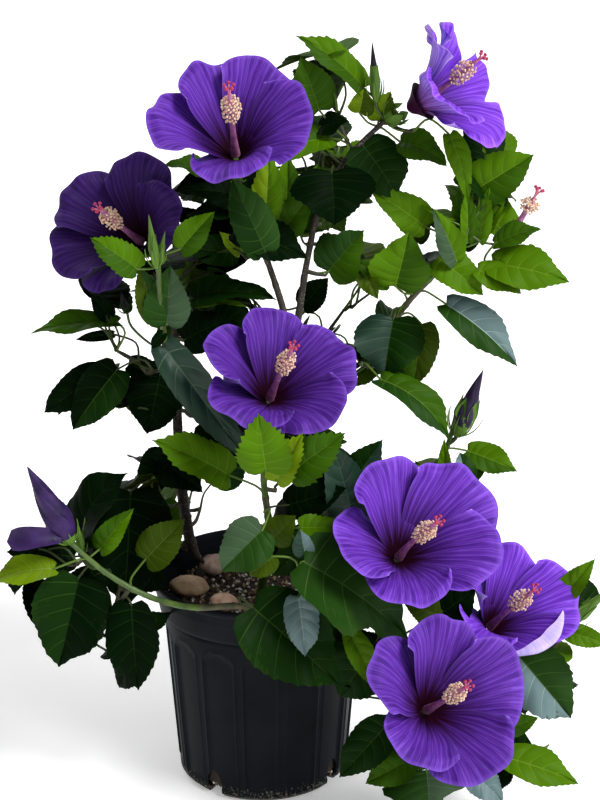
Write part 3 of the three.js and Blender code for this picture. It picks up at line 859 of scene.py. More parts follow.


# The leaves that lead each mass. Each has its tone, its base and tip as shares of the mass's box
# (across and up), its width over its length, and where needed: depth, its base's and tip's share
# from front to back; face, how far it looks across and up for each 1 towards the front;
# right_half_painted_light, the tone of its right half, painted lighter or darker than the left where
# that half takes the key light differently; arch, lobes and teeth. The dark tone among them is
# painted shade. The shares were read off the photo.
LEADERS = {
    "leaves_crown_tip": [
        ("mid", (0.76, 0.49), (0.05, 0.99), 0.44, dict(face=(-0.3, 1.2), teeth=0.05, right_half_painted_light="bright")),
        ("mid", (0.3, 0.28), (0.1, 0.8), 0.78, dict(face=(0, 0.4))),
        ("dark", (0.3, 0.12), (0.6, 0.2), 0.8, dict()),
        ("yellow", (0.72, 0.26), (0.76, 0.5), 0.95, dict(right_half_painted_light="olive")),
        ("yellow", (0.92, 0.18), (1.04, 0.48), 0.8, dict(teeth=0.06, right_half_painted_light="olive")),
    ],
    "leaves_upper_middle": [
        ("dark", (0.43, 0.73), (0.45, 0.45), 1.5, dict(depth=(0.2, 0.0), arch=0.7, ripple=0.15, lobes=0.06)),
        ("deep", (0.66, 0.85), (0.92, 0.55), 0.95, dict(depth=(0.5, 0.45))),
        ("bright", (0.42, 0.88), (-0.1, 0.78), 0.55, dict(depth=(0.6, 0.4), face=(0, 1.0), right_half_painted_light="mid")),
        ("deep", (-0.05, 0.3), (-0.3, 0.72), 0.55, dict(depth=(0.0, 0.0), right_half_painted_light="green")),
        ("yellow", (-0.06, 0.42), (-0.02, 0.86), 0.42, dict(depth=(0.3, 0.2), right_half_painted_light="bright", teeth=0.05)),
        ("bright", (0.1, 0.4), (0.12, 0.82), 0.5, dict(depth=(0.45, 0.3), right_half_painted_light="mid")),
        ("bright", (0.2, 0.36), (0.34, 0.76), 0.5, dict(depth=(0.5, 0.4), right_half_painted_light="green")),
        ("mid", (0.06, 0.36), (0.3, 0.62), 0.6, dict(depth=(0.4, 0.25))),
        ("dark", (-0.26, 0.4), (0.26, 0.25), 0.62, dict(depth=(0.2, 0.1), face=(0, 0.8))),
        ("dark", (0.22, -0.12), (0.42, 0.05), 0.75, dict(depth=(0.8, 0.8))),
        ("green", (0.41, 0.15), (0.67, 0.4), 0.95, dict(depth=(0.3, 0.2), right_half_painted_light="mid", lobes=0.15)),
        ("olive", (0.66, 0.16), (0.78, 0.0), 0.6, dict(depth=(0.4, 0.2))),
    ],
    "leaves_upper_left": [
        ("mid", (0.3, 0.65), (0.0, 0.75), 0.6, dict(face=(0, 1.6))),
        ("dark", (0.58, 0.34), (0.08, 0.45), 0.6, dict(face=(0, 1.2))),
        ("deep", (0.6, 0.2), (0.14, 0.14), 0.45, dict(face=(0, 1.4))),
        ("deep", (0.75, 0.1), (0.5, 0.6), 0.6, dict()),
        ("bright", (0.87, 0.0), (0.68, 0.75), 0.6, dict(depth=(0.4, 0.1))),
        ("yellow", (0.95, 0.1), (1.1, 0.75), 0.5, dict(depth=(0.4, 0.2))),
    ],
    "leaves_middle_left": [
        ("deep", (0.6, 0.77), (0.22, 0.85), 0.55, dict(depth=(0.5, 0.2))),
        ("yellow", (0.64, 0.8), (0.5, 0.98), 0.45, dict(depth=(0.3, 0.1))),
        ("deep", (0.3, 0.46), (0.9, 0.46), 0.42, dict(depth=(0.3, 0.2), face=(0, 1.6), arch=1.1)),
        ("bright", (0.35, 0.42), (0.7, 0.42), 0.3, dict(depth=(0.2, 0.1), face=(0, 2.5))),
        ("dark", (0.23, 0.14), (0.58, 0.33), 0.75, dict(depth=(0.3, 0.2))),
        ("deep", (0.45, 0.3), (0.8, 0.15), 0.7, dict(depth=(0.6, 0.5))),
    ],
    "leaves_left_shoot": [
        ("mid", (0.42, 0.66), (0.07, 0.97), 0.6, dict(depth=(0.3, 0.1), teeth=0.06, right_half_painted_light="bright")),
        ("bright", (0.75, 0.85), (1.02, 1.2), 0.6, dict(depth=(0.3, 0.25), right_half_painted_light="mid")),
        ("green", (0.62, 0.08), (0.66, 0.66), 0.75, dict(depth=(0.85, 0.8), face=(0, 0.3), right_half_painted_light="sage")),
        ("olive", (0.54, 0.12), (0.42, 0.66), 0.5, dict(depth=(0.85, 0.8), right_half_painted_light="green")),
        ("dark", (0.6, 0.02), (0.5, -0.14), 0.6, dict(depth=(0.7, 0.7))),
    ],
    "leaves_left_tip": [
        ("mid", (0.86, 0.35), (0.1, 0.17), 0.4, dict(face=(0, 2.0), depth=(0.5, 0.3))),
        ("dark", (0.8, -0.02), (0.45, -0.14), 0.3, dict(face=(0, 0.4), depth=(0.9, 0.9))),
        ("dark", (0.8, 0.45), (0.63, 1.0), 0.6, dict()),
    ],
    "leaves_left_lower": [
        ("dark", (0.43, 0.66), (0.06, 0.34), 0.56, dict(arch=1.2, teeth=0.015)),
        ("deep", (0.54, 0.75), (0.25, 0.22), 0.6, dict(arch=1.0, depth=(0.3, 0.1), right_half_painted_light="dark", teeth=0.015)),
        ("dark", (0.8, 0.67), (0.71, 0.14), 0.95, dict(arch=0.8, teeth=0.015)),
        ("dark", (0.6, 0.75), (0.85, 0.6), 0.6, dict(depth=(0.6, 0.6))),
    ],
    "leaves_center_left": [
        ("dark_painted_sheen", (0.16, 1.02), (0.95, 0.24), 0.27, dict(depth=(0.5, 0.4), arch=0.5)),
        ("bright", (0.75, 0.22), (0.08, 0.5), 0.58, dict(depth=(0.2, 0.0), face=(0, 1.1), teeth=0.05)),
        ("dark", (0.38, 0.3), (0.0, 0.3), 0.55, dict(depth=(0.5, 0.4))),
        ("dark", (0.15, 0.27), (-0.1, 0.17), 0.7, dict(depth=(0.6, 0.4))),
        ("dark", (0.1, 0.22), (0.5, 0.05), 0.7, dict(depth=(0.6, 0.4))),
    ],
    "leaves_left_stem": [
        ("dark", (0.09, 0.45), (0.49, 0.86), 0.75,
         dict(arch=1.6, depth=(0.3, 0.4), face=(-0.9, 0.7), teeth=0.01)),
        ("mid", (0.26, 0.45), (0.56, 0.71), 0.45, dict(depth=(0.1, 0.1), right_half_painted_light="bright", arch=0.9)),
        ("dark", (0.5, 0.72), (0.43, 0.02), 0.72, dict(depth=(0.5, 0.3), arch=0.4)),
        ("olive", (0.63, 0.36), (0.97, 0.62), 0.7, dict(depth=(0.2, 0.2))),
        ("dark", (0.3, 0.5), (0.1, 0.2), 0.7, dict(depth=(0.7, 0.6))),
    ],
    "leaves_low_left_tip": [
        ("yellow", (0.76, 0.56), (0.04, 0.36), 0.5, dict(depth=(0.2, 0.1), face=(0, 1.5), arch=0.9)),
        ("dark", (0.95, 0.6), (0.2, 0.7), 0.6, dict(depth=(0.8, 0.7))),
    ],
    "leaves_low_left_hanging": [
        ("dark", (0.78, 1.0), (0.48, 0.17), 0.8, dict(arch=0.5, right_half_painted_light="deep")),
        ("dark", (1.0, 0.98), (0.45, 0.75), 0.6, dict(depth=(0.9, 0.9))),
    ],
    "leaves_low_left_inner": [
        ("dark", (0.55, 1.0), (0.62, 0.11), 0.6, dict(arch=0.4)),
    ],
    "leaves_center_shoot": [
        ("bright", (0.33, 0.22), (0.28, 1.05), 0.85, dict(depth=(0.3, 0.1), teeth=0.08)),
        ("yellow", (0.40, 0.05), (0.6, 0.75), 0.55, dict(depth=(0.45, 0.3), teeth=0.08)),
        ("mid", (0.5, 0.15), (0.9, 0.75), 0.62, dict(depth=(0.5, 0.3), teeth=0.09)),
        ("yellow", (0.34, 0.2), (0.22, 0.55), 0.4, dict(depth=(0.6, 0.6))),
    ],
    "leaves_center_low": [
        ("bright", (0.45, 0.42), (0.85, 0.4), 0.6, dict(depth=(0.0, 0.0), face=(0, 1.2), teeth=0.07)),
        ("dark", (0.35, 0.5), (0.85, 0.68), 0.6, dict()),
        ("olive", (0.22, 0.28), (0.42, 0.5), 0.9, dict(depth=(0.2, 0.1))),
        ("olive", (0.14, 0.3), (-0.02, 0.42), 0.8, dict(depth=(0.2, 0.1))),
        ("dark_painted_sheen", (0.9, 0.4), (0.72, 1.02), 0.6, dict(depth=(0.6, 0.5))),
        ("deep", (0.85, 0.6), (1.15, 1.05), 0.6, dict(depth=(0.6, 0.5), right_half_painted_light="dark_painted_sheen")),
    ],
    "leaves_pot_front": [
        ("green", (0.16, 1.03), (-0.08, 0.76), 0.85, dict(depth=(0.6, 0.5), right_half_painted_light="sage")),
        ("olive", (0.22, 0.85), (0.08, 0.72), 0.8, dict(depth=(0.6, 0.6))),
        ("dark_painted_sheen", (0.4, 0.86), (0.37, 1.03), 0.8, dict(depth=(0.6, 0.6), right_half_painted_light="painted_sheen")),
        ("green", (0.39, 0.84), (1.0, 0.3), 0.76,
         dict(depth=(0.4, 0.5), lobes=0.3, ripple=0.3, face=(0.8, 1.1))),
        ("painted_sheen", (0.36, 0.62), (0.4, 0.24), 0.6, dict(depth=(0.3, 0.1))),
        ("deep", (0.1, 0.52), (0.6, 0.03), 0.74, dict(depth=(0.5, 0.2), arch=0.5)),
    ],
    "leaves_low_middle": [
        ("deep", (0.85, 0.87), (0.2, 0.5), 1.0, dict(depth=(0.5, 0.4))),
        ("bright", (0.35, 0.97), (0.85, 0.6), 0.4, dict(depth=(0.2, 0.1))),
        ("olive", (2.06, 0.99), (1.36, 1.08), 0.75, dict(depth=(0.9, 0.9))),
        ("dark", (1.9, 0.95), (2.7, 1.16), 0.9, dict(depth=(1.0, 1.0))),
    ],
    "leaves_bottom": [
        ("deep", (0.24, 1.3), (-0.07, 0.5), 0.6, dict()),
        ("mid", (0.4, 0.75), (0.1, 0.4), 0.7, dict()),
        ("sage", (0.5, 0.55), (0.52, -0.1), 1.6, dict(lobes=0.3, right_half_painted_light="green")),
        ("painted_sheen", (0.78, 0.55), (1.0, 0.1), 0.7, dict()),
    ],
    "leaves_right_foot": [
        ("dark", (0.25, 0.4), (0.2, 0.0), 0.7, dict()),
        ("bright", (0.24, 0.47), (0.95, 0.14), 0.5, dict(depth=(0.4, 0.2), face=(0, 1.2))),
        ("mid", (0.25, 0.8), (0.55, 1.0), 0.6, dict()),
    ],
    "leaves_right_hip": [
        ("green", (0.14, 0.84), (0.83, 0.14), 0.74, dict(right_half_painted_light="painted_sheen")),
        ("deep", (0.1, 0.6), (0.3, 0.1), 0.7, dict(depth=(0.8, 0.8))),
    ],
    "leaves_right_low_tip": [
        ("bright", (0.08, 0.57), (0.65, 1.05), 0.45, dict()),
        ("bright", (0.2, 0.17), (1.0, 0.05), 0.5, dict()),
    ],
    "leaves_right_middle": [
        ("mid", (0.1, 0.96), (0.56, 0.36), 0.42,
         dict(right_half_painted_light="green", arch=1.4, depth=(0.4, 0.2), face=(0.3, 1.3))),
        ("bright", (0.7, 0.17), (1.03, 0.0), 0.6, dict(right_half_painted_light="mid")),
        ("painted_sheen", (0.66, 0.0), (0.62, 0.3), 0.85, dict(depth=(0.0, 0.0), right_half_painted_light="green")),
        ("bright", (0.53, -0.1), (0.52, 0.42), 0.3, dict(depth=(0.1, 0.1))),
        ("mid", (0.7, -0.14), (0.84, 0.1), 0.5, dict(depth=(0.5, 0.5))),
    ],
    "leaves_right_inner": [
        ("deep", (0.46, 0.78), (0.34, 0.24), 1.2, dict(depth=(0.3, 0.1), right_half_painted_light="dark_painted_sheen")),
        ("olive", (0.86, 0.66), (0.76, 0.04), 0.62, dict(depth=(0.7, 0.6), right_half_painted_light="mid")),
        ("dark", (0.1, 0.55), (0.0, 0.35), 0.7, dict()),
    ],
    "leaves_right_tip": [
        ("painted_sheen", (0.07, 0.87), (1.02, 0.18), 0.44, dict(right_half_painted_light="green", arch=0.9)),
    ],
    "leaves_shoulder_inner": [
        ("bright", (0.52, 0.6), (0.0, 0.99), 0.55, dict(depth=(0.4, 0.3))),
        ("bright", (0.25, 0.03), (0.36, 0.6), 1.0, dict(depth=(0.2, 0.1), right_half_painted_light="mid", lobes=0.1)),
        ("mid", (0.2, 0.05), (-0.12, 0.27), 0.7, dict(depth=(0.3, 0.3))),
        ("sage", (0.8, 0.28), (0.56, 0.84), 0.45, dict(depth=(0.2, 0.1), right_half_painted_light="bright")),
        ("yellow", (0.8, 0.36), (0.75, 0.67), 0.5, dict(depth=(0.3, 0.3))),
        ("bright", (0.64, 0.3), (1.05, -0.05), 0.7, dict(depth=(0.3, 0.1))),
        ("olive", (0.45, 0.4), (0.55, 0.8), 0.6, dict(depth=(0.7, 0.7))),
    ],
    "leaves_shoulder_outer": [
        ("mid", (0.36, 0.6), (0.77, 0.8), 0.6, dict(depth=(0.4, 0.3), face=(0, 1.3))),
        ("bright", (0.34, 0.36), (1.03, 0.15), 0.6, dict(depth=(0.3, 0.1))),
        ("bright", (0.2, 0.3), (0.6, 0.0), 0.6, dict(depth=(0.2, 0.1))),
        ("deep", (0.1, 0.5), (0.3, 0.9), 0.5, dict(depth=(0.7, 0.7))),
    ],
    "leaves_upper_right": [
        ("mid", (0.05, 0.86), (0.37, 0.66), 0.65, dict(arch=1.3, face=(0, 1.0))),
        ("bright", (0.38, 0.94), (0.51, 0.36), 0.34, dict(depth=(0.3, 0.2), arch=0.9)),
        ("bright", (0.56, 0.44), (0.96, 0.77), 0.72, dict(depth=(0.4, 0.3), right_half_painted_light="mid")),
        ("mid", (0.5, 0.0), (0.45, 0.45), 0.45, dict(depth=(0.4, 0.4))),
        ("bright", (0.52, 0.0), (0.5, 0.5), 0.32, dict(depth=(0.25, 0.2), right_half_painted_light="mid")),
        ("mid", (0.6, 0.0), (0.66, 0.5), 0.36, dict(depth=(0.3, 0.25), right_half_painted_light="bright")),
        ("bright", (0.62, 0.05), (0.78, 0.36), 0.45, dict(depth=(0.5, 0.4))),
    ],
}

# The pieces that leaves are joined into: the masses of each, and the tones of its filling leaves; on the
# left and in the middle these lean to the dark tone, painted shade where the key light doesn't reach.
REGIONS = {
    "leaf_sprays_left": (("leaves_left", "leaves_low_left", "leaves_middle_left", "leaves_upper_left"),
                         ("dark", "dark", "deep")),
    "leaf_sprays_middle": (("leaves_center", "leaves_pot_front", "leaves_low_middle", "leaves_bottom"),
                           ("dark", "deep", "green")),
    "leaf_sprays_right": (("leaves_right", "leaves_shoulder"), ("deep", "mid", "mid", "bright")),
    "leaf_sprays_crown": (("leaves_crown", "leaves_upper_middle", "leaves_upper_right"),
                          ("deep", "mid", "bright")),
    "leaf_sprays_back": (("leaves_back",), ("deep", "mid", "mid", "bright", "olive")),
}
FILL_PER_LITRE = 60
MASS_FULLNESS = 0.55   # how much of its box a mass fills
FILL_LENGTHS = (42, 70)
FILL_LEAST = 2
FILL_DEEPER = 30 * MM  # how far behind its own solid a mass is filled
FILL_SLACK = 14 * MM
FILL_HIDDEN = 0.65     # how much of a filling leaf is behind the leading leaves and blooms
BACK_HIDDEN = 0.35     # and of one in the back of the crown
FILL_TRIES = 2500
UNFILLED = ("leaves_right_tip",)    # one leaf, out in the open

# The sky seen through the crown from the front, which filling leaves stay clear of: each opening's
# middle and half its size, across and up, in millimetres on the plane through the pot's middle.
# They were read off the photo.
OPENINGS = np.array([(61, 364, 13, 23), (78, 305, 7, 15), (106, 271, 21, 22), (-95, 331, 22, 14),
                     (-73, 259, 10, 7), (-45, 287, 12, 22), (-32, 206, 28, 17), (8, 378, 20, 19),
                     (85, 424, 12, 12), (113, 445, 12, 14), (124, 371, 8, 14)]) * MM


def shares_to_place(low, high, x, y, z):
    return low + (high - low) * np.array([x, y, z])


class Foliage:
    """Every leaf that the plant is to have, worked out before any is made."""

    def __init__(self, blooms):
        self.leaves = []
        self.front = [fan for bloom in blooms for fan in bloom_fan(bloom)]
        self.sheets = list(self.front)
        self.outline = Outline()

    def keep(self, leaf, leads):
        sheet = leaf_sheet(leaf)
        self.leaves.append(leaf)
        self.sheets += sheet
        if leads:
            self.front += sheet

    def leaders(self, mass, rng):
        low, high = box_of(mass)
        for tone, base, tip, ratio, more in LEADERS.get(mass, ()):
            more = dict(more)
            near, far = more.pop("depth", (0.55, 0.35))
            across, up = more.pop("face", (rng.uniform(-0.2, 0.3), rng.uniform(0.4, 0.9)))
            more.setdefault("arch", rng.uniform(0.4, 0.8))
            leaf = dict(mass=mass, tone=tone, ratio=ratio, phase=rng.uniform(0, TURN),
                        facing=np.array([across, -1.0, up]),
                        base=shares_to_place(low, high, base[0], near, base[1]),
                        tip=shares_to_place(low, high, tip[0], far, tip[1]), **more)
            self.keep(leaf, True)

    def fill(self, mass, tones, rng):
        """Leaves in and behind a mass, pointing outwards and a little down, clear of those there are."""
        low, high = box_of(mass)
        middle = (low + high) / 2
        corners, triangles = welded(mass)
        solid = BVHTree.FromPolygons(corners.tolist(), triangles.tolist())
        litres = np.prod(high - low) * 1000 * MASS_FULLNESS
        wanted = max(FILL_LEAST, int(round(litres * FILL_PER_LITRE)))
        behind = mass.startswith("leaves_back")
        deeper = high + np.array([0, FILL_DEEPER, 0])
        for _ in range(FILL_TRIES):
            start = low + (deeper - low) * rng.uniform(0.1, 0.9, 3)
            outward = (start - middle) / (high - low) + rng.normal(0, 0.25, 3)
            outward = unit(outward * np.array([1, 1, 0.8]) + np.array([0, 0.15 if behind else 0.0, -0.1]))
            end = start + outward * rng.uniform(*FILL_LENGTHS) * MM
            facing = unit(start - middle + end - middle) + np.array([0, 0.2 if behind else -0.5, 0.8])
            leaf = dict(mass=mass, tone=str(rng.choice(tones)), ratio=rng.uniform(0.62, 0.85),
                        phase=rng.uniform(0, TURN), facing=facing, base=start, tip=end, ripple=0.12,
                        arch=rng.uniform(0.25, 0.6))
            if self.fits(leaf, solid, middle[1], behind):
                self.keep(leaf, False)
                wanted -= 1
            if wanted <= 0:
                break

    def fits(self, leaf, solid, middle, behind):
        """Whether a leaf is in or behind its mass, crosses nothing, closes no opening, and is mostly
        behind the leading leaves and blooms."""
        edges = leaf_edges(leaf)
        places = np.unique(edges.reshape(-1, 3), axis=0)
        drawn = places - np.clip(places[:, 1:2] - middle, 0, FILL_DEEPER) * np.array([0, 1, 0])
        if in_openings(places) or not all(inside(solid, place, FILL_SLACK) for place in drawn):
            return False
        if crossed(edges[:, 0], edges[:, 1], self.sheets).any():
            return False
        eye = np.array(CAMERA_PLACE)
        if not behind and crossed(places, eye + (places - eye) * 1.5, self.front).any():
            return False
        hidden = crossed(np.tile(eye, (len(places), 1)), places, self.front)
        enough = hidden.mean() >= (BACK_HIDDEN if behind else FILL_HIDDEN)
        return enough and all(map(self.outline.hides, places))


def in_openings(places):
    """Whether any of the places would be seen from the front within an opening."""
    eye = np.array(CAMERA_PLACE)
    seen = eye + (places - eye) * (-eye[1] / (places[:, 1:2] - eye[1]))
    across = (seen[:, None, [0, 2]] - OPENINGS[:, :2]) / OPENINGS[:, 2:]
    return bool((np.linalg.norm(across, axis=-1) < 1).any())


def leaf_edges(leaf):
    """A leaf's rough outline and its two long lines, as pairs of places."""
    base, tip = leaf["base"], leaf["tip"]
    length = np.linalg.norm(tip - base)
    along = (tip - base) / length
    out = square_to(along, leaf["facing"])
    side = np.cross(along, out) * 0.5 * length * leaf["ratio"]
    belly = base + (tip - base) * 0.4 + out * length * leaf["arch"] / 8
    left, right = belly - side, belly + side
    return np.array([(base, belly), (belly, tip), (left, right), (base, left), (left, tip),
                     (base, right), (right, tip)])


def leaf_sheet(leaf):
    """A leaf as four triangles."""
    edges = leaf_edges(leaf)
    base, belly, tip, left, right = edges[0][0], edges[0][1], edges[1][1], edges[2][0], edges[2][1]
    return [(base, belly, left), (base, belly, right), (tip, belly, left), (tip, belly, right)]


def bloom_fan(bloom):
    """A bloom's open face as triangles from its throat."""
    turns = np.arange(13) * TURN / 12
    rim = (bloom["throat"] + 30 * MM * bloom["axis"] + bloom["radius"] * (
        np.cos(turns)[:, None] * bloom["right"] + np.sin(turns)[:, None] * bloom["up"]))
    return [(bloom["throat"], here, after) for here, after in zip(rim, rim[1:])]


def crossed(starts, ends, sheets):
    """For each straight line from a start to its end, whether it passes through any of the triangles."""
    corner, second, third = np.swapaxes(np.array(sheets), 0, 1)
    one, two = second - corner, third - corner
    way = (ends - starts)[:, None]
    across = np.cross(way, two)
    scale = np.sum(across * one, axis=-1)
    scale = np.where(np.abs(scale) < 1e-12, 1e-12, scale)
    gap = starts[:, None] - corner
    u = np.sum(gap * across, axis=-1) / scale
    turned = np.cross(gap, one)
    v = np.sum(way * turned, axis=-1) / scale
    along = np.sum(two * turned, axis=-1) / scale
    return np.any((u >= 0) & (v >= 0) & (u + v <= 1) & (along >= 0) & (along <= 1), axis=1)


class Outline:
    """What the frame's solids show from the front: where leaves may fill without closing a gap."""

    def __init__(self):
        corners, triangles, self.owners = [], [], []
        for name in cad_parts:
            if not name.startswith(("leaves_back", "bloom_back")):
                points, faces = welded(name)
                triangles += (faces + len(corners)).tolist()
                corners += points.tolist()
                self.owners += [name] * len(faces)
        self.solids = BVHTree.FromPolygons(corners, triangles)
        self.eye = Vector(CAMERA_PLACE)

    def hides(self, place):
        """Whether a place is within the foliage's outline, and not before a limb or the pot."""
        ray = Vector(place) - self.eye
        _, _, index, distance = self.solids.ray_cast(self.eye, ray.normalized())
        if index is None:
            return False
        return self.owners[index].startswith("leaves_") or ray.length > distance


def inside(solid, place, slack):
    """Whether a place is in a solid, or closer to it than the slack."""
    near, normal, _, distance = solid.find_nearest(Vector(place))
    return distance < slack or (Vector(place) - near).dot(normal) < 0


# ---------------------------------------------------------------- twigs and petioles

PETIOLE_MOST = 32 * MM
TWIG_RADIUS = 1.35 * MM
PETIOLE_RADIUS = 0.8 * MM
PLACES_TRIED = 14         # how many of the nearest places on the wood are weighed
DROP_COST = 0.6           # what each metre above a leaf's foot adds to a place's distance
AHEAD_COST = 12 * MM      # what lying straight ahead of the leaf adds
THICK_STALK = 1.5 * MM
THIN_STALK = 0.9 * MM


class Branching:
    """Grows each leaf's petiole, and a twig where that isn't long enough, from the nearest wood."""

    def __init__(self, starts):
        self.places = list(starts)
        self.twigs, self.petioles = Shapes(), Shapes()
        self.count_at_tree = 0

    def nearest(self, place, avoid):
        """The best place to grow from: near, and rather below than above."""
        if len(self.places) != self.count_at_tree:
            self.tree = kdtree.KDTree(len(self.places))
            for i, here in enumerate(self.places):
                self.tree.insert(here, i)
            self.tree.balance()
            self.count_at_tree = len(self.places)
        best = None
        for here, _, distance in self.tree.find_n(Vector(place), PLACES_TRIED):
            here = np.array(here)
            drop = max(0.0, here[2] - place[2])
            ahead = np.dot(unit(here - place), avoid)
            cost = distance + DROP_COST * drop + AHEAD_COST * max(0.0, ahead)
            if best is None or cost < best[0]:
                best = (cost, here)
        return best[1]

    def grow(self, leaf, rng):
        base, tip = leaf["base"], leaf["tip"]
        along = unit(tip - base)
        start = self.nearest(base, along)
        gap = np.linalg.norm(base - start)
        into = base + along * 1.5 * MM
        if gap > PETIOLE_MOST:
            joint = base + (start - base) * (PETIOLE_MOST * 0.8 / gap) - UP * 4 * MM
            sag = (start + joint) / 2 + rng.normal(0, 0.05 * gap, 3) - UP * 0.04 * gap
            widths = [TWIG_RADIUS * 1.25, TWIG_RADIUS * 1.1, TWIG_RADIUS * 0.8]
            route, radii = spline([start, sag, joint], widths, 4 * MM)
            add_tube(self.twigs, route, radii, 8)
            self.places += list(route[1:])
            start = joint
        middle = (start + base) / 2 - along * 0.25 * np.linalg.norm(base - start) + UP * 0.08 * gap
        widths = [PETIOLE_RADIUS * 1.25, PETIOLE_RADIUS, PETIOLE_RADIUS, PETIOLE_RADIUS * 0.6]
        route, radii = spline([start, middle, base, into], widths, 3.5 * MM)
        # Leaves of the darkest tones get a petiole darkened as painted shade.
        number = 1 if leaf["tone"] in ("dark", "deep", "dark_painted_sheen") else 0
        add_tube(self.petioles, route, radii, 6, number)

    def stalk(self, foot, from_direction, radius):
        """A flower stalk from the nearest wood to the foot of a bloom or bud."""
        start = self.nearest(foot, from_direction)
        gap = np.linalg.norm(foot - start)
        bend = foot - from_direction * 0.5 * gap
        places = [start, (start + bend) / 2, (bend + foot) / 2, foot + from_direction * 1.5 * MM]
        route, radii = spline(places, [radius * 1.2, radius, radius, radius * 1.1], 3 * MM)
        add_tube(self.twigs, route, radii, 8, 1)

    def make(self):
        self.twigs.make("twigs", [
            mottled("twig_skin", (0.014, 0.014, 0.005), (0.045, 0.038, 0.014), 150, 0.65),
            shoot_material("stalk_skin", (0.026, 0.055, 0.008), (0.060, 0.105, 0.018)),
        ], "shoot")
        self.petioles.make("petioles", [
            new_material("petiole_green", (0.085, 0.150, 0.020), 0.5, Specular_IOR_Level=0.2),
            new_material("petiole_painted_shade", (0.028, 0.042, 0.010), 0.5, Specular_IOR_Level=0.2),
        ], "shoot")


# ---------------------------------------------------------------- blooms

# Each bloom: its petals, each as the turn of its middle about the axis in degrees (from the bloom's
# right towards its top), its size and, where its end is rolled over towards the front, the share from
# which it is; how far its column leans to its right and its top, in degrees; its shade, a factor of
# painted light on its petals' colours that paints shade below 1 and light above 1; and where
# needed how deep it is, how long its column is, and how pale its petals' backs are.
BLOOMS = {
    "bloom_top_left": dict(petals=((6, 0.99), (57, 0.96), (115, 0.95), (182, 1.03), (268, 1.0)),
                           lean=(0, 4), shade=1.12),
    # A shade factor well below 1: painted shade on a bloom that stands in shade.
    "bloom_left": dict(petals=((18, 0.98), (74, 1.04), (148, 1.0), (213, 1.06), (272, 0.97)),
                       lean=(0, 2), shade=0.31),
    "bloom_center": dict(petals=((8, 1.02), (78, 0.98), (150, 1.0), (220, 1.07), (298, 0.95)),
                         lean=(2, 0), shade=0.92, depth=0.95),
    # A factor well above 1: painted light on a bloom in full light.
    "bloom_top_right": dict(petals=((274, 0.99), (338, 0.92), (58, 0.9), (102, 0.86), (190, 0.9)),
                            lean=(-2, 8), shade=2.0, length=0.9),
    "bloom_right": dict(petals=((28, 1.2), (97, 1.03), (180, 1.0), (252, 0.95), (328, 1.06)),
                        lean=(8, -3), shade=1.3),
    "bloom_low_right": dict(petals=((350, 1.18), (58, 0.98), (120, 0.92), (196, 0.98), (284, 1.08, 0.66)),
                            lean=(3, -3), shade=1.75, pale=0.75),
    "bloom_bottom_right": dict(petals=((5, 1.1), (72, 1.0), (138, 1.04), (215, 0.95), (284, 1.03)),
                               lean=(3, 3), shade=1.0),
    "bloom_back_top": dict(petals=((20, 1.0), (94, 1.03), (160, 0.98), (236, 1.0), (308, 1.02)),
                           lean=(0, 6), shade=1.0),
    "bloom_back_low": dict(petals=((50, 1.02), (122, 0.98), (196, 1.0), (262, 1.04), (338, 0.97)),
                           lean=(0, 6), shade=1.0),
}
# A bloom's solid, from its foot: how far up its axis its throat and its column's tip stand, and how
# far its rim reaches out for each 1 of its radius.
THROAT_RISE, COLUMN_RISE = 27, 87
RIM_REACH = 1.06
PETAL_ROWS, PETAL_COLUMNS = 28, 61
PETAL_ROLL = 2.6 * MM
PETAL_THICKNESS = 0.4 * MM
PETAL_SPREAD = math.radians(54)     # half the turn that a petal's foot takes up
PETAL_NARROWING = math.radians(8)   # how much less its outer half takes up
PETAL_NOTCH = 0.29                  # how far its corners are drawn in
BLOOM_DEPTH = 34
PALE_BACK = (0.52, 0.46, 0.78)
# Waves that run round all five petals of a bloom: how many, and how high in millimetres.
RUFFLES = ((3, 2.0), (7, 1.5), (12, 1.0), (19, 0.5))


def poles(name):
    """A bloom's foot and the tip of its column: the two corners where most triangles meet."""
    corners, triangles = welded(name)
    counts = np.bincount(triangles.ravel(), minlength=len(corners))
    first, second = corners[np.argsort(counts)[-2:]]
    axis = unit(second - first)
    arms = corners - first
    reach = np.linalg.norm(arms - np.outer(arms @ axis, axis), axis=1)
    rim = corners[reach > 0.8 * reach.max()].mean(axis=0)
    if np.linalg.norm(rim - first) < np.linalg.norm(rim - second):
        first, second, axis = second, first, -axis
    return first, second, axis, reach.max()


def bloom_frame(name):
    """Where a bloom stands: its throat, axis, two directions across it, and its radius."""
    foot, tip, axis, reach = poles(name)
    right = unit(np.cross(UP, axis))
    up = np.cross(axis, right)
    length = np.linalg.norm(tip - foot)
    throat = foot + axis * length * THROAT_RISE / COLUMN_RISE
    radius = reach / RIM_REACH
    return dict(name=name, foot=foot, tip=tip, axis=axis, right=right, up=up, throat=throat, radius=radius)


def rolled(reach, height, out, share):
    """A petal's reach and height with all beyond a share of its length folded over towards the front."""
    fold = int(np.searchsorted(out[:, 0], share))
    past = np.maximum(reach - reach[fold], 0)
    bend = np.minimum(past / PETAL_ROLL, math.pi)
    turned_back = np.maximum(past - math.pi * PETAL_ROLL, 0)
    over = out > out[fold]
    return (np.where(over, reach[fold] + PETAL_ROLL * np.sin(bend) - turned_back, reach),
            np.where(over, height[fold] + PETAL_ROLL * (1 - np.cos(bend)) - 0.2 * turned_back, height))


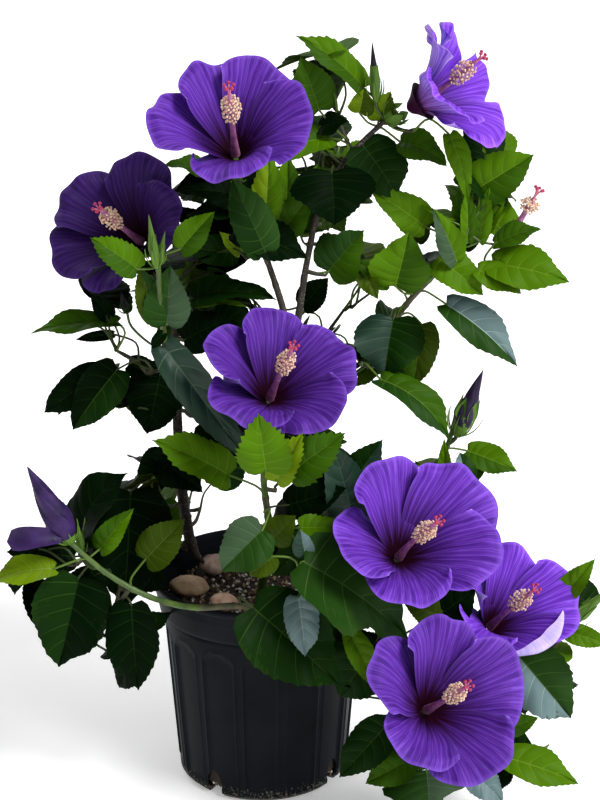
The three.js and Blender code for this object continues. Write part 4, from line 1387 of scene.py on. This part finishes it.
def petal_grid(bloom, middle, size, rng, roll=None):
    """One petal: its points, and each point's share across it and out along it."""
    out = np.linspace(0, 1, PETAL_ROWS)[:, None] ** 0.9
    across = np.linspace(-1, 1, PETAL_COLUMNS)[None]
    radius = bloom["radius"]
    spread = PETAL_SPREAD - PETAL_NARROWING * smooth_step(0.25, 0.75, out)
    angle = spread * across
    wave = rng.uniform(0, TURN, 5)
    tilt = rng.uniform(-2.5, 2.5) * MM
    tip = 1 - PETAL_NOTCH * np.abs(across + 0.12 * np.sin(wave[4])) ** 2.3
    scallop = 0.020 * np.sin(4 * across + wave[0]) + 0.013 * np.sin(10 * across + wave[1])
    rim = smooth_step(0.45, 1, out)
    reach = radius * size * (0.05 + 0.95 * out) * (1 + (tip * (1 + scallop) - 1) * rim)
    depth = (6 + bloom.get("depth", 1.0) * BLOOM_DEPTH) * MM
    height = -6 * MM + depth * (1 - (1 - out) ** 1.7) + tilt * out ** 2
    round_bloom = math.radians(middle) + angle
    for lobes, ruffle, start in bloom["ruffles"]:
        height = height + ruffle * np.sin(lobes * round_bloom + start) * smooth_step(0.3, 1, out) ** 1.5
    own = (1 - across ** 2) ** 2
    height = height + own * smooth_step(0.2, 0.9, out) * (2.4 * np.sin(2.5 * out + wave[2]) + 2.0) * MM
    height = height + 1.1 * MM * np.sin(12 * across + wave[3]) * own * smooth_step(0.75, 1, out)
    fans = 0.11 * MM * np.sin(across * 38) * smooth_step(0.08, 0.3, out) * (1 - 0.5 * out)
    lips = 0.5 + 0.5 * np.cos(2.6 * across + wave[2])
    height = height + fans - 3.0 * MM * smooth_step(0.8, 1.0, out) * lips
    height = height + 8.5 * MM * across * smooth_step(0.14, 0.6, out)
    if roll:
        reach, height = rolled(reach, height, out, roll)
    x, y = reach * np.cos(round_bloom), reach * np.sin(round_bloom)
    points = (bloom["throat"] + x[..., None] * bloom["right"] + y[..., None] * bloom["up"]
              + height[..., None] * bloom["axis"])
    shares = np.stack(np.broadcast_arrays(0.5 + 0.5 * across, out), axis=-1)
    return points, shares


def grid_normals(points):
    """The unit normal at each point of a grid."""
    return unit(np.cross(np.gradient(points, axis=0), np.gradient(points, axis=1)))


def on_tile(shares, tile):
    """A petal side's map within its own tile of the baked picture, which is 4 tiles by 3."""
    return (shares * 0.96 + 0.02 + [tile % 4, tile // 4]) / [4, 3]


def add_petals(bloom, seed):
    """One bloom's five petals as a piece, each overlapping the next, its two sides mapped apart."""
    rng = np.random.default_rng(SEED + seed)
    bloom["ruffles"] = [(lobes, depth * MM, rng.uniform(0, TURN)) for lobes, depth in RUFFLES]
    shapes = Shapes()
    faces = grid_faces(PETAL_ROWS, PETAL_COLUMNS)
    count = PETAL_ROWS * PETAL_COLUMNS
    for index, (middle, size, *roll) in enumerate(bloom["petals"]):
        points, shares = petal_grid(bloom, middle, size, rng, *roll)
        normals = grid_normals(points)
        side = np.sign(np.sum(normals * bloom["axis"], axis=-1).mean())
        back = points - side * normals * PETAL_THICKNESS
        back_index = np.arange(count).reshape(PETAL_ROWS, PETAL_COLUMNS) + count
        front_index = back_index - count
        for edge in ((0, slice(None)), (-1, slice(None)), (slice(None), 0), (slice(None), -1)):
            back_index[edge] = front_index[edge]
        under = back_index.ravel()[faces]
        own = shares.reshape(-1, 2)[faces]
        facing = slice(None, None, -1 if side < 0 else 1)
        away = slice(None, None, 1 if side < 0 else -1)
        front_maps = {"OFBake": on_tile(own, index)[:, facing], "petal": own[:, facing]}
        back_maps = {"OFBake": on_tile(own, index + PETALS)[:, away], "petal": own[:, away]}
        shapes.add(np.concatenate([points.reshape(-1, 3), back.reshape(-1, 3)]),
                   (faces[:, facing], 0, front_maps), (under[:, away], 1, back_maps))
    materials = [petal_material(bloom, True), petal_material(bloom, False)]
    shapes.make(bloom["name"] + "_petals", materials, "petal", sharp=70, replaces=[bloom["name"]])


def petal_material(bloom, front):
    """Violet with fans of darker and paler veins, a paler margin, and on the face a maroon throat; the veins
    and margin are scaled by the bloom's painted light and shade.
    """
    # The bloom's shade factor is painted light: it darkens the colours of a bloom that stands in shade and
    # lightens a lit one.
    shade = bloom["shade"]
    material = new_material(bloom["name"] + ("_face" if front else "_back"), (0.2, 0.1, 0.6), 0.6,
                            Specular_IOR_Level=0.1)
    where = node(material, "ShaderNodeUVMap", uv_map="petal").outputs["UV"]
    split = node(material, "ShaderNodeSeparateXYZ", {"Vector": where})
    across, out = split.outputs["X"], split.outputs["Y"]
    streaks = node(material, "ShaderNodeMapping", {"Vector": where, "Scale": (30, 1.5, 1)}).outputs["Vector"]
    veins = node(material, "ShaderNodeTexNoise",
                 {"Vector": streaks, "Scale": 1.0, "Detail": 4, "Roughness": 0.55}).outputs["Fac"]

    # Scales a colour by the bloom's painted light and shade.
    def tint(color):
        return tuple(min(0.95, c * shade) for c in color)

    foot = (0.10, 0.02, 0.09)
    pale = bloom.get("pale", 0.0)
    tones = [(0.085, 0.034, 0.270), (0.140, 0.066, 0.390), (0.230, 0.135, 0.540)]
    tones = [tuple(np.array(color) * (1 - pale) + np.array(PALE_BACK) / shade * pale) for color in tones]
    line = (0.40, 0.28, 0.72)
    if front:
        foot = (0.014, 0.0, 0.006)
        tones = [(0.043, 0.008, 0.160), (0.074, 0.016, 0.245), (0.130, 0.040, 0.380)]
        line = (0.190, 0.080, 0.520)
    fan = ramp(material, veins, [(place, tint(color)) for place, color in zip((0.33, 0.50, 0.70), tones)])
    wander = math_of(material, "MULTIPLY", veins, 6.0)
    waves = math_of(material, "SINE", math_of(material, "MULTIPLY_ADD", across, 112.0, wander))
    thin = ramp(material, waves, [(0.84, (0, 0, 0)), (1.0, (0.45, 0.45, 0.45))])
    lined = mix_of(material, thin, fan, (*tint(line), 1))
    end = ramp(material, out, [(0.93, (0, 0, 0)), (1.0, (0.5, 0.5, 0.5))])
    sides = ramp(material, across, [(0.0, (0.5, 0.5, 0.5)), (0.05, (0, 0, 0)), (0.95, (0, 0, 0)),
                                    (1.0, (0.5, 0.5, 0.5))])
    lined = mix_of(material, math_of(material, "MAXIMUM", end, sides), lined, (*tint(line), 1))
    shifted = math_of(material, "MULTIPLY_ADD", veins, 0.45, out)
    mask = ramp(material, shifted, [(0.36, (0, 0, 0)), (0.52, (0.45, 0.45, 0.45)), (0.78, (1, 1, 1))])
    feed(material, "Base Color", mix_of(material, mask, (*foot, 1), lined))
    bump(material, waves, 0.12, 0.3 * MM)
    return material


STAMENS = 90
STIGMA_PADS = 5
COLUMN_BARE = 0.62
COLUMN_END = 0.95


def column_route(bloom):
    """The middle line of a bloom's column, from inside its throat to its tip, leaning on the way."""
    length = np.linalg.norm(bloom["tip"] - bloom["throat"]) * bloom.get("length", 1.0)
    right, top = (math.tan(math.radians(angle)) for angle in bloom["lean"])
    along = unit(bloom["axis"] + bloom["right"] * right + bloom["up"] * top)
    start = bloom["throat"] - bloom["axis"] * 3 * MM
    first = bloom["throat"] + unit(bloom["axis"] + along) * length * 0.3
    end = bloom["throat"] + along * length * 0.9
    return spline([start, first, end], [3.4 * MM, 2.0 * MM, 1.5 * MM], 1.5 * MM)


def add_ball(shapes, place, size, number, axis=None, stretch=1.0, rings=5, sides=8):
    """Adds a small round body, drawn out along an axis where one is given."""
    axis = UP if axis is None else axis
    side = square_to(axis, np.array([0.3, -0.5, 0.8]))
    other = np.cross(axis, side)

    def place_points(points):
        turned = points[..., :1] * side + points[..., 1:2] * other + points[..., 2:] * axis * stretch
        return place + turned * size

    add_lathe(shapes, ball_profile(rings), sides, number, place=place_points)


# The inside of a bloom's foot, where its petals have grown together, as (radius, height) in millimetres.
THROAT_CUP = ((2.2, -9), (4.2, -7.6), (7, -3.6), (11, 0.4), (14, 3))


def add_throat(shapes, bloom):
    """The funnel that closes a bloom behind its petals' feet."""
    place = placed_at(bloom["throat"], bloom["right"], bloom["up"], bloom["axis"])
    cup = [(radius * MM, height * MM) for radius, height in THROAT_CUP]
    skin = [(radius - 0.4 * MM, height + 0.4 * MM) for radius, height in cup[::-1]]
    add_lathe(shapes, cup + skin, 24, 6, place=place)


def add_column(shapes, bloom, rng):
    """A column with its stamens and the five pads of its stigma."""
    route, radii = column_route(bloom)
    add_tube(shapes, route, radii, 12, 0)
    first, second = frames_along(route)
    tangents = unit(np.gradient(route, axis=0))
    count = bloom.get("stamens", STAMENS)
    for i in range(count):
        share = COLUMN_BARE + (COLUMN_END - COLUMN_BARE) * (i + rng.random()) / count
        at = min(len(route) - 1, int(share * (len(route) - 1)))
        angle = i * 2.4
        out = spoke(first[at], second[at], angle)
        lean = unit(out + tangents[at] * rng.uniform(0.1, 0.6))
        swell = math.sin(math.pi * (share - COLUMN_BARE) / (COLUMN_END - COLUMN_BARE))
        reach = rng.uniform(3.4, 6.0) * MM * (0.5 + 0.5 * swell)
        start = route[at] + out * radii[at] * 0.8
        add_tube(shapes, np.array([start, start + lean * reach * 0.6, start + lean * reach]),
                 [0.22 * MM, 0.18 * MM, 0.16 * MM], 4, 1)
        add_ball(shapes, start + lean * reach, 0.8 * MM, 2 if rng.random() < 0.75 else 3,
                 axis=square_to(lean, rng.normal(size=3)), stretch=1.4)
    for i in range(STIGMA_PADS):
        out = spoke(first[-1], second[-1], i * TURN / STIGMA_PADS + 0.4)
        end = route[-1] + tangents[-1] * 7.5 * MM + out * 3.2 * MM
        middle = route[-1] + tangents[-1] * 4.5 * MM + out * 0.9 * MM
        root = route[-1] - tangents[-1] * MM
        arm, width = spline([root, middle, end], [0.8 * MM, 0.6 * MM, 0.55 * MM], 1.2 * MM)
        add_tube(shapes, arm, width, 6, 4)
        add_ball(shapes, end, 1.35 * MM, 5, axis=unit(out + tangents[-1]), stretch=0.8, rings=6, sides=10)


def column_materials():
    return [
        mottled("column_flesh", (0.28, 0.07, 0.20), (0.46, 0.18, 0.34), 300, 0.5, 0.2),
        new_material("filament", (0.72, 0.46, 0.42), 0.5),
        new_material("anther_cream", (0.70, 0.50, 0.35), 0.75),
        new_material("anther_peach", (0.66, 0.36, 0.26), 0.75),
        new_material("style_pink", (0.58, 0.16, 0.26), 0.5),
        new_material("stigma_pad", (0.36, 0.015, 0.08), 0.6),
        new_material("throat", (0.030, 0.002, 0.022), 0.6, Specular_IOR_Level=0.1),
    ]


def add_blade(shapes, start, end, out, width, number, curl=0.2, broad=False):
    """Adds a narrow pointed strip, such as a sepal or a bract, or one that is broadest near its end."""
    rows = 9
    share = np.linspace(0, 1, rows)[:, None]
    length = np.linalg.norm(end - start)
    along = (end - start) / length
    side = np.cross(along, square_to(along, out))
    normal = np.cross(side, along)
    half = width * (np.sin(math.pi * share ** 0.7) * 0.9 + 0.12) * (1 - share) ** 0.15
    if broad:
        half = width * (0.5 + 0.6 * share) * (1 - share ** 5) ** 0.5 + 0.2 * MM
    bow = curl * length * np.sin(math.pi * share)
    cross = np.array([-1, -0.5, 0, 0.5, 1])[None, :]
    dish = 0.5 * half * cross ** 2
    lines = start + along * length * share + normal * bow
    top = lines[:, None] + side * (half * cross)[..., None] + normal * dish[..., None]
    under = top - normal * 0.4 * MM * (1 - np.abs(cross)[..., None])
    columns = 5
    faces = grid_faces(rows, columns)
    shapes.add(np.concatenate([top.reshape(-1, 3), under.reshape(-1, 3)]),
               (faces, number), (faces[:, ::-1] + rows * columns, number))


SEPALS = 5


def add_calyx(shapes, foot, axis, cup, length, bracts=7, open_out=0.35, number=0):
    """A green cup with five sepals, and a ring of narrow bracts round its foot."""
    right = square_to(axis, np.array([1.0, 0.2, 0.3]))
    up = np.cross(axis, right)
    profile = [(0, -0.5 * MM), (cup * 0.45, 0), (cup * 0.85, length * 0.15), (cup, length * 0.4),
               (cup * 1.05, length * 0.55), (cup * 0.9, length * 0.53), (cup * 0.8, length * 0.3),
               (0, length * 0.2)]
    add_lathe(shapes, profile, 20, number, place=placed_at(foot, right, up, axis))
    for i in range(SEPALS):
        out = spoke(right, up, i * TURN / SEPALS)
        start = foot + axis * length * 0.45 + out * cup * 0.98
        end = foot + axis * length + out * cup * (1 + open_out)
        add_blade(shapes, start, end, out, cup * 0.62, number, -0.06)
    for i in range(bracts):
        out = spoke(right, up, (i + 0.5) * TURN / bracts)
        start = foot + out * cup * 0.35
        end = foot + axis * length * 0.62 + out * cup * 2.0
        add_blade(shapes, start, end, out, 0.9 * MM, number + 1, 0.12)


# A large bud's outline from its foot to its tip, as (share of its radius, share of its length).
BUD_SHAPE = ((0, 0.0), (0.55, 0.03), (0.85, 0.12), (1.0, 0.25), (0.86, 0.42), (0.6, 0.62),
             (0.34, 0.8), (0.15, 0.93), (0.03, 1.0))
BUD_SIDES = 50


def add_furled_bud(shapes, foot, tip, radius, number, twist=2.2, dark_from=1.0):
    """Petals rolled round each other into a spindle, with spiral folds, in the next material from
    the given share of its length."""
    axis = unit(tip - foot)
    length = np.linalg.norm(tip - foot)
    right = square_to(axis, np.array([1.0, 0.1, 0.2]))
    up = np.cross(axis, right)
    heights = np.linspace(0, 1, 40)
    widths = np.interp(heights, [z for _, z in BUD_SHAPE], [r for r, _ in BUD_SHAPE])

    def furl(points, angles):
        share = points[..., 2] / length
        fold = (PETALS * angles[None] / TURN + twist * share) % 1
        scale = 1 + 0.22 * (fold - 0.5) * smooth_step(0.05, 0.4, share)
        points[..., 0] *= scale
        points[..., 1] *= scale
        return points

    profile = np.stack([widths * radius, heights * length], axis=1)
    numbers = np.repeat(number + (heights[1:] > dark_from), BUD_SIDES)
    add_lathe(shapes, profile, BUD_SIDES, numbers, reshape=furl, place=placed_at(foot, right, up, axis))


def add_blossom(branching):
    """Petals, columns and calyces of the open blooms, then the furled buds."""
    blooms = bloom_frames()
    columns, greens = Shapes(), Shapes()
    rng = np.random.default_rng(SEED + 7)
    for seed, bloom in enumerate(blooms):
        add_petals(bloom, seed)
        add_column(columns, bloom, rng)
        add_throat(columns, bloom)
        add_calyx(greens, bloom["foot"], bloom["axis"], 6.0 * MM, 15 * MM, open_out=0.1)
        branching.stalk(bloom["foot"], bloom["axis"], THICK_STALK)
    add_bare_column(columns, greens, branching, rng)
    columns.make("bloom_columns", column_materials(), "petal")
    add_buds(greens, branching)
    add_small_buds(greens, branching)
    greens.make("calyces", [
        new_material("calyx_green", (0.085, 0.175, 0.020), 0.55, Specular_IOR_Level=0.2),
        new_material("bract_green", (0.105, 0.205, 0.026), 0.55, Specular_IOR_Level=0.2),
        new_material("calyx_dark", (0.008, 0.022, 0.004), 0.55, Specular_IOR_Level=0.1),
        new_material("bract_dark", (0.014, 0.032, 0.006), 0.55, Specular_IOR_Level=0.1),
    ], "leaf")


def add_bare_column(columns, greens, branching, rng):
    """The short column of a bloom that has dropped its petals, on the right shoulder."""
    low, high = box_of("leaves_upper_right")
    foot = shares_to_place(low, high, 0.86, 0.3, 0.14)
    tip = shares_to_place(low, high, 0.98, 0.25, 0.42)
    axis = unit(tip - foot)
    right = unit(np.cross(UP, axis))
    bloom = dict(throat=foot, tip=tip, axis=axis, right=right, up=np.cross(axis, right), lean=(0, 0),
                 stamens=70)
    add_column(columns, bloom, rng)
    add_calyx(greens, foot - axis * 6 * MM, axis, 3.4 * MM, 9 * MM, bracts=0)
    branching.stalk(foot - axis * 6 * MM, axis, THIN_STALK)


def bloom_frames():
    return [dict(bloom_frame(name), **BLOOMS[name]) for name in BLOOMS]


def pole_ends(name):
    """A furled bud's foot and tip: its lowest and highest corner."""
    corners, _ = welded(name)
    order = np.argsort(corners[:, 2])
    return corners[order[0]], corners[order[-1]]


def add_buds(greens, branching):
    """The two coloured buds that the frame holds."""
    violet = furled_material("bud_violet", (0.012, 0.004, 0.038), (0.045, 0.018, 0.105))
    dusky = furled_material("bud_dusky", (0.008, 0.004, 0.018), (0.032, 0.020, 0.055))
    for name, material in (("bud_left", violet), ("bud_right", dusky)):
        foot, tip = pole_ends(name)
        axis = unit(tip - foot)
        shapes = Shapes()
        if name == "bud_left":
            radius = 10 * MM
            add_lip(shapes, foot, tip, radius)
            add_calyx(greens, foot, axis, 6 * MM, 19 * MM, open_out=0.2)
        else:
            radius = 7.2 * MM
            foot = foot - axis * 14 * MM
            add_calyx(greens, foot, axis, 6.6 * MM, 30 * MM, open_out=0.0)
        add_furled_bud(shapes, foot + axis * 3 * MM, tip, radius, 0)
        shapes.make(name + "_furled", [material], "bud", sharp=60, replaces=[name])
        branching.stalk(foot, axis, THICK_STALK)


def add_lip(shapes, foot, tip, radius):
    """The end of the outermost petal of an opening bud, which flares out to the left and down."""
    start = foot + (tip - foot) * 0.14 + np.array([-0.2, -0.7, 0]) * radius
    end = foot + np.array([-43, -8, 4]) * MM
    add_blade(shapes, start, end, np.array([-0.3, -1.0, 0.5]), 9.5 * MM, 0, curl=0.15, broad=True)


# Buds too small for solids of their own: the mass that each stands in, its foot and tip as shares of
# the mass's box (across and up), its share from front to back, its radius in millimetres, the share
# of its length from which it is dark, and whether its calyx is green (0) or dark (2).
SMALL_BUDS = (
    ("leaves_crown_tip", (0.89, 0.37), (0.84, 0.93), 0.4, 3.4, 0.6, 0),
    ("leaves_left_shoot", (0.57, 0.68), (0.52, 1.18), 0.15, 3.2, 1.0, 0),
    ("leaves_left_shoot", (0.58, 0.7), (0.64, 1.02), 0.25, 2.4, 1.0, 0),
    ("leaves_left_stem", (0.12, 0.42), (0.09, 0.62), 0.1, 2.8, 1.0, 0),
    ("leaves_left_stem", (0.13, 0.42), (0.14, 0.63), 0.2, 2.4, 1.0, 0),
    ("leaves_right_low_tip", (0.12, 0.26), (1.0, 0.74), 0.3, 5.0, 1.0, 0),
    ("leaves_left_tip", (0.95, 0.55), (0.9, 1.0), 0.5, 3.2, 0.0, 2),
)


def add_small_buds(greens, branching):
    """Slender young buds in their calyces, with a ring of bracts round the foot of each."""
    tips = Shapes()
    for mass, foot, tip, depth, radius, dark_from, calyx in SMALL_BUDS:
        low, high = box_of(mass)
        foot = shares_to_place(low, high, foot[0], depth, foot[1])
        tip = shares_to_place(low, high, tip[0], depth, tip[1])
        axis = unit(tip - foot)
        length = np.linalg.norm(tip - foot)
        add_furled_bud(tips, foot + axis * 1.5 * MM, tip, radius * MM, 0, twist=0.6, dark_from=dark_from)
        add_calyx(greens, foot, axis, radius * 0.95 * MM, length * 0.62, bracts=5, open_out=-0.1,
                  number=calyx)
        branching.stalk(foot, axis, THIN_STALK)
    tips.make("small_buds", [
        new_material("young_bud", (0.075, 0.150, 0.020), 0.5, Specular_IOR_Level=0.2),
        new_material("dark_bud", (0.012, 0.008, 0.014), 0.5, Specular_IOR_Level=0.2),
    ], "bud", sharp=60)


def furled_material(name, dark, light):
    material = new_material(name, dark, 0.55, Specular_IOR_Level=0.2)
    grain = noise_of(material, 90, detail=5)
    feed(material, "Base Color", ramp(material, grain, [(0.3, dark), (0.75, light)]))
    bump(material, grain, 0.3, 0.5 * MM)
    return material


# ---------------------------------------------------------------- the foliage

def add_foliage(branching):
    """The leaves of every mass, joined by region, each mass's twigs and petioles grown to them."""
    materials = leaf_materials()
    foliage = Foliage(bloom_frames())
    masses = [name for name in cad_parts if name.startswith("leaves_")]
    rng = np.random.default_rng(SEED + 100)
    for mass in masses:
        foliage.leaders(mass, rng)
    for region, (prefixes, tones) in REGIONS.items():
        own = [mass for mass in masses if mass.startswith(prefixes)]
        for mass in own:
            if mass not in UNFILLED:
                foliage.fill(mass, tones, rng)
        shapes = Shapes()
        leaves = [leaf for leaf in foliage.leaves if leaf["mass"] in own]
        for leaf in sorted(leaves, key=lambda leaf: leaf["base"][2]):
            branching.grow(leaf, rng)
            leaf.pop("mass")
            add_leaf(shapes, **leaf)
        shapes.make(region, materials, "leaf", sharp=60, replaces=own)
        foliage.leaves = [leaf for leaf in foliage.leaves if "mass" in leaf]


add_camera()
add_floor()
add_lights()
add_pot()
add_soil()
add_pebbles()
branching = Branching(add_limbs())
add_blossom(branching)
add_foliage(branching)
branching.make()
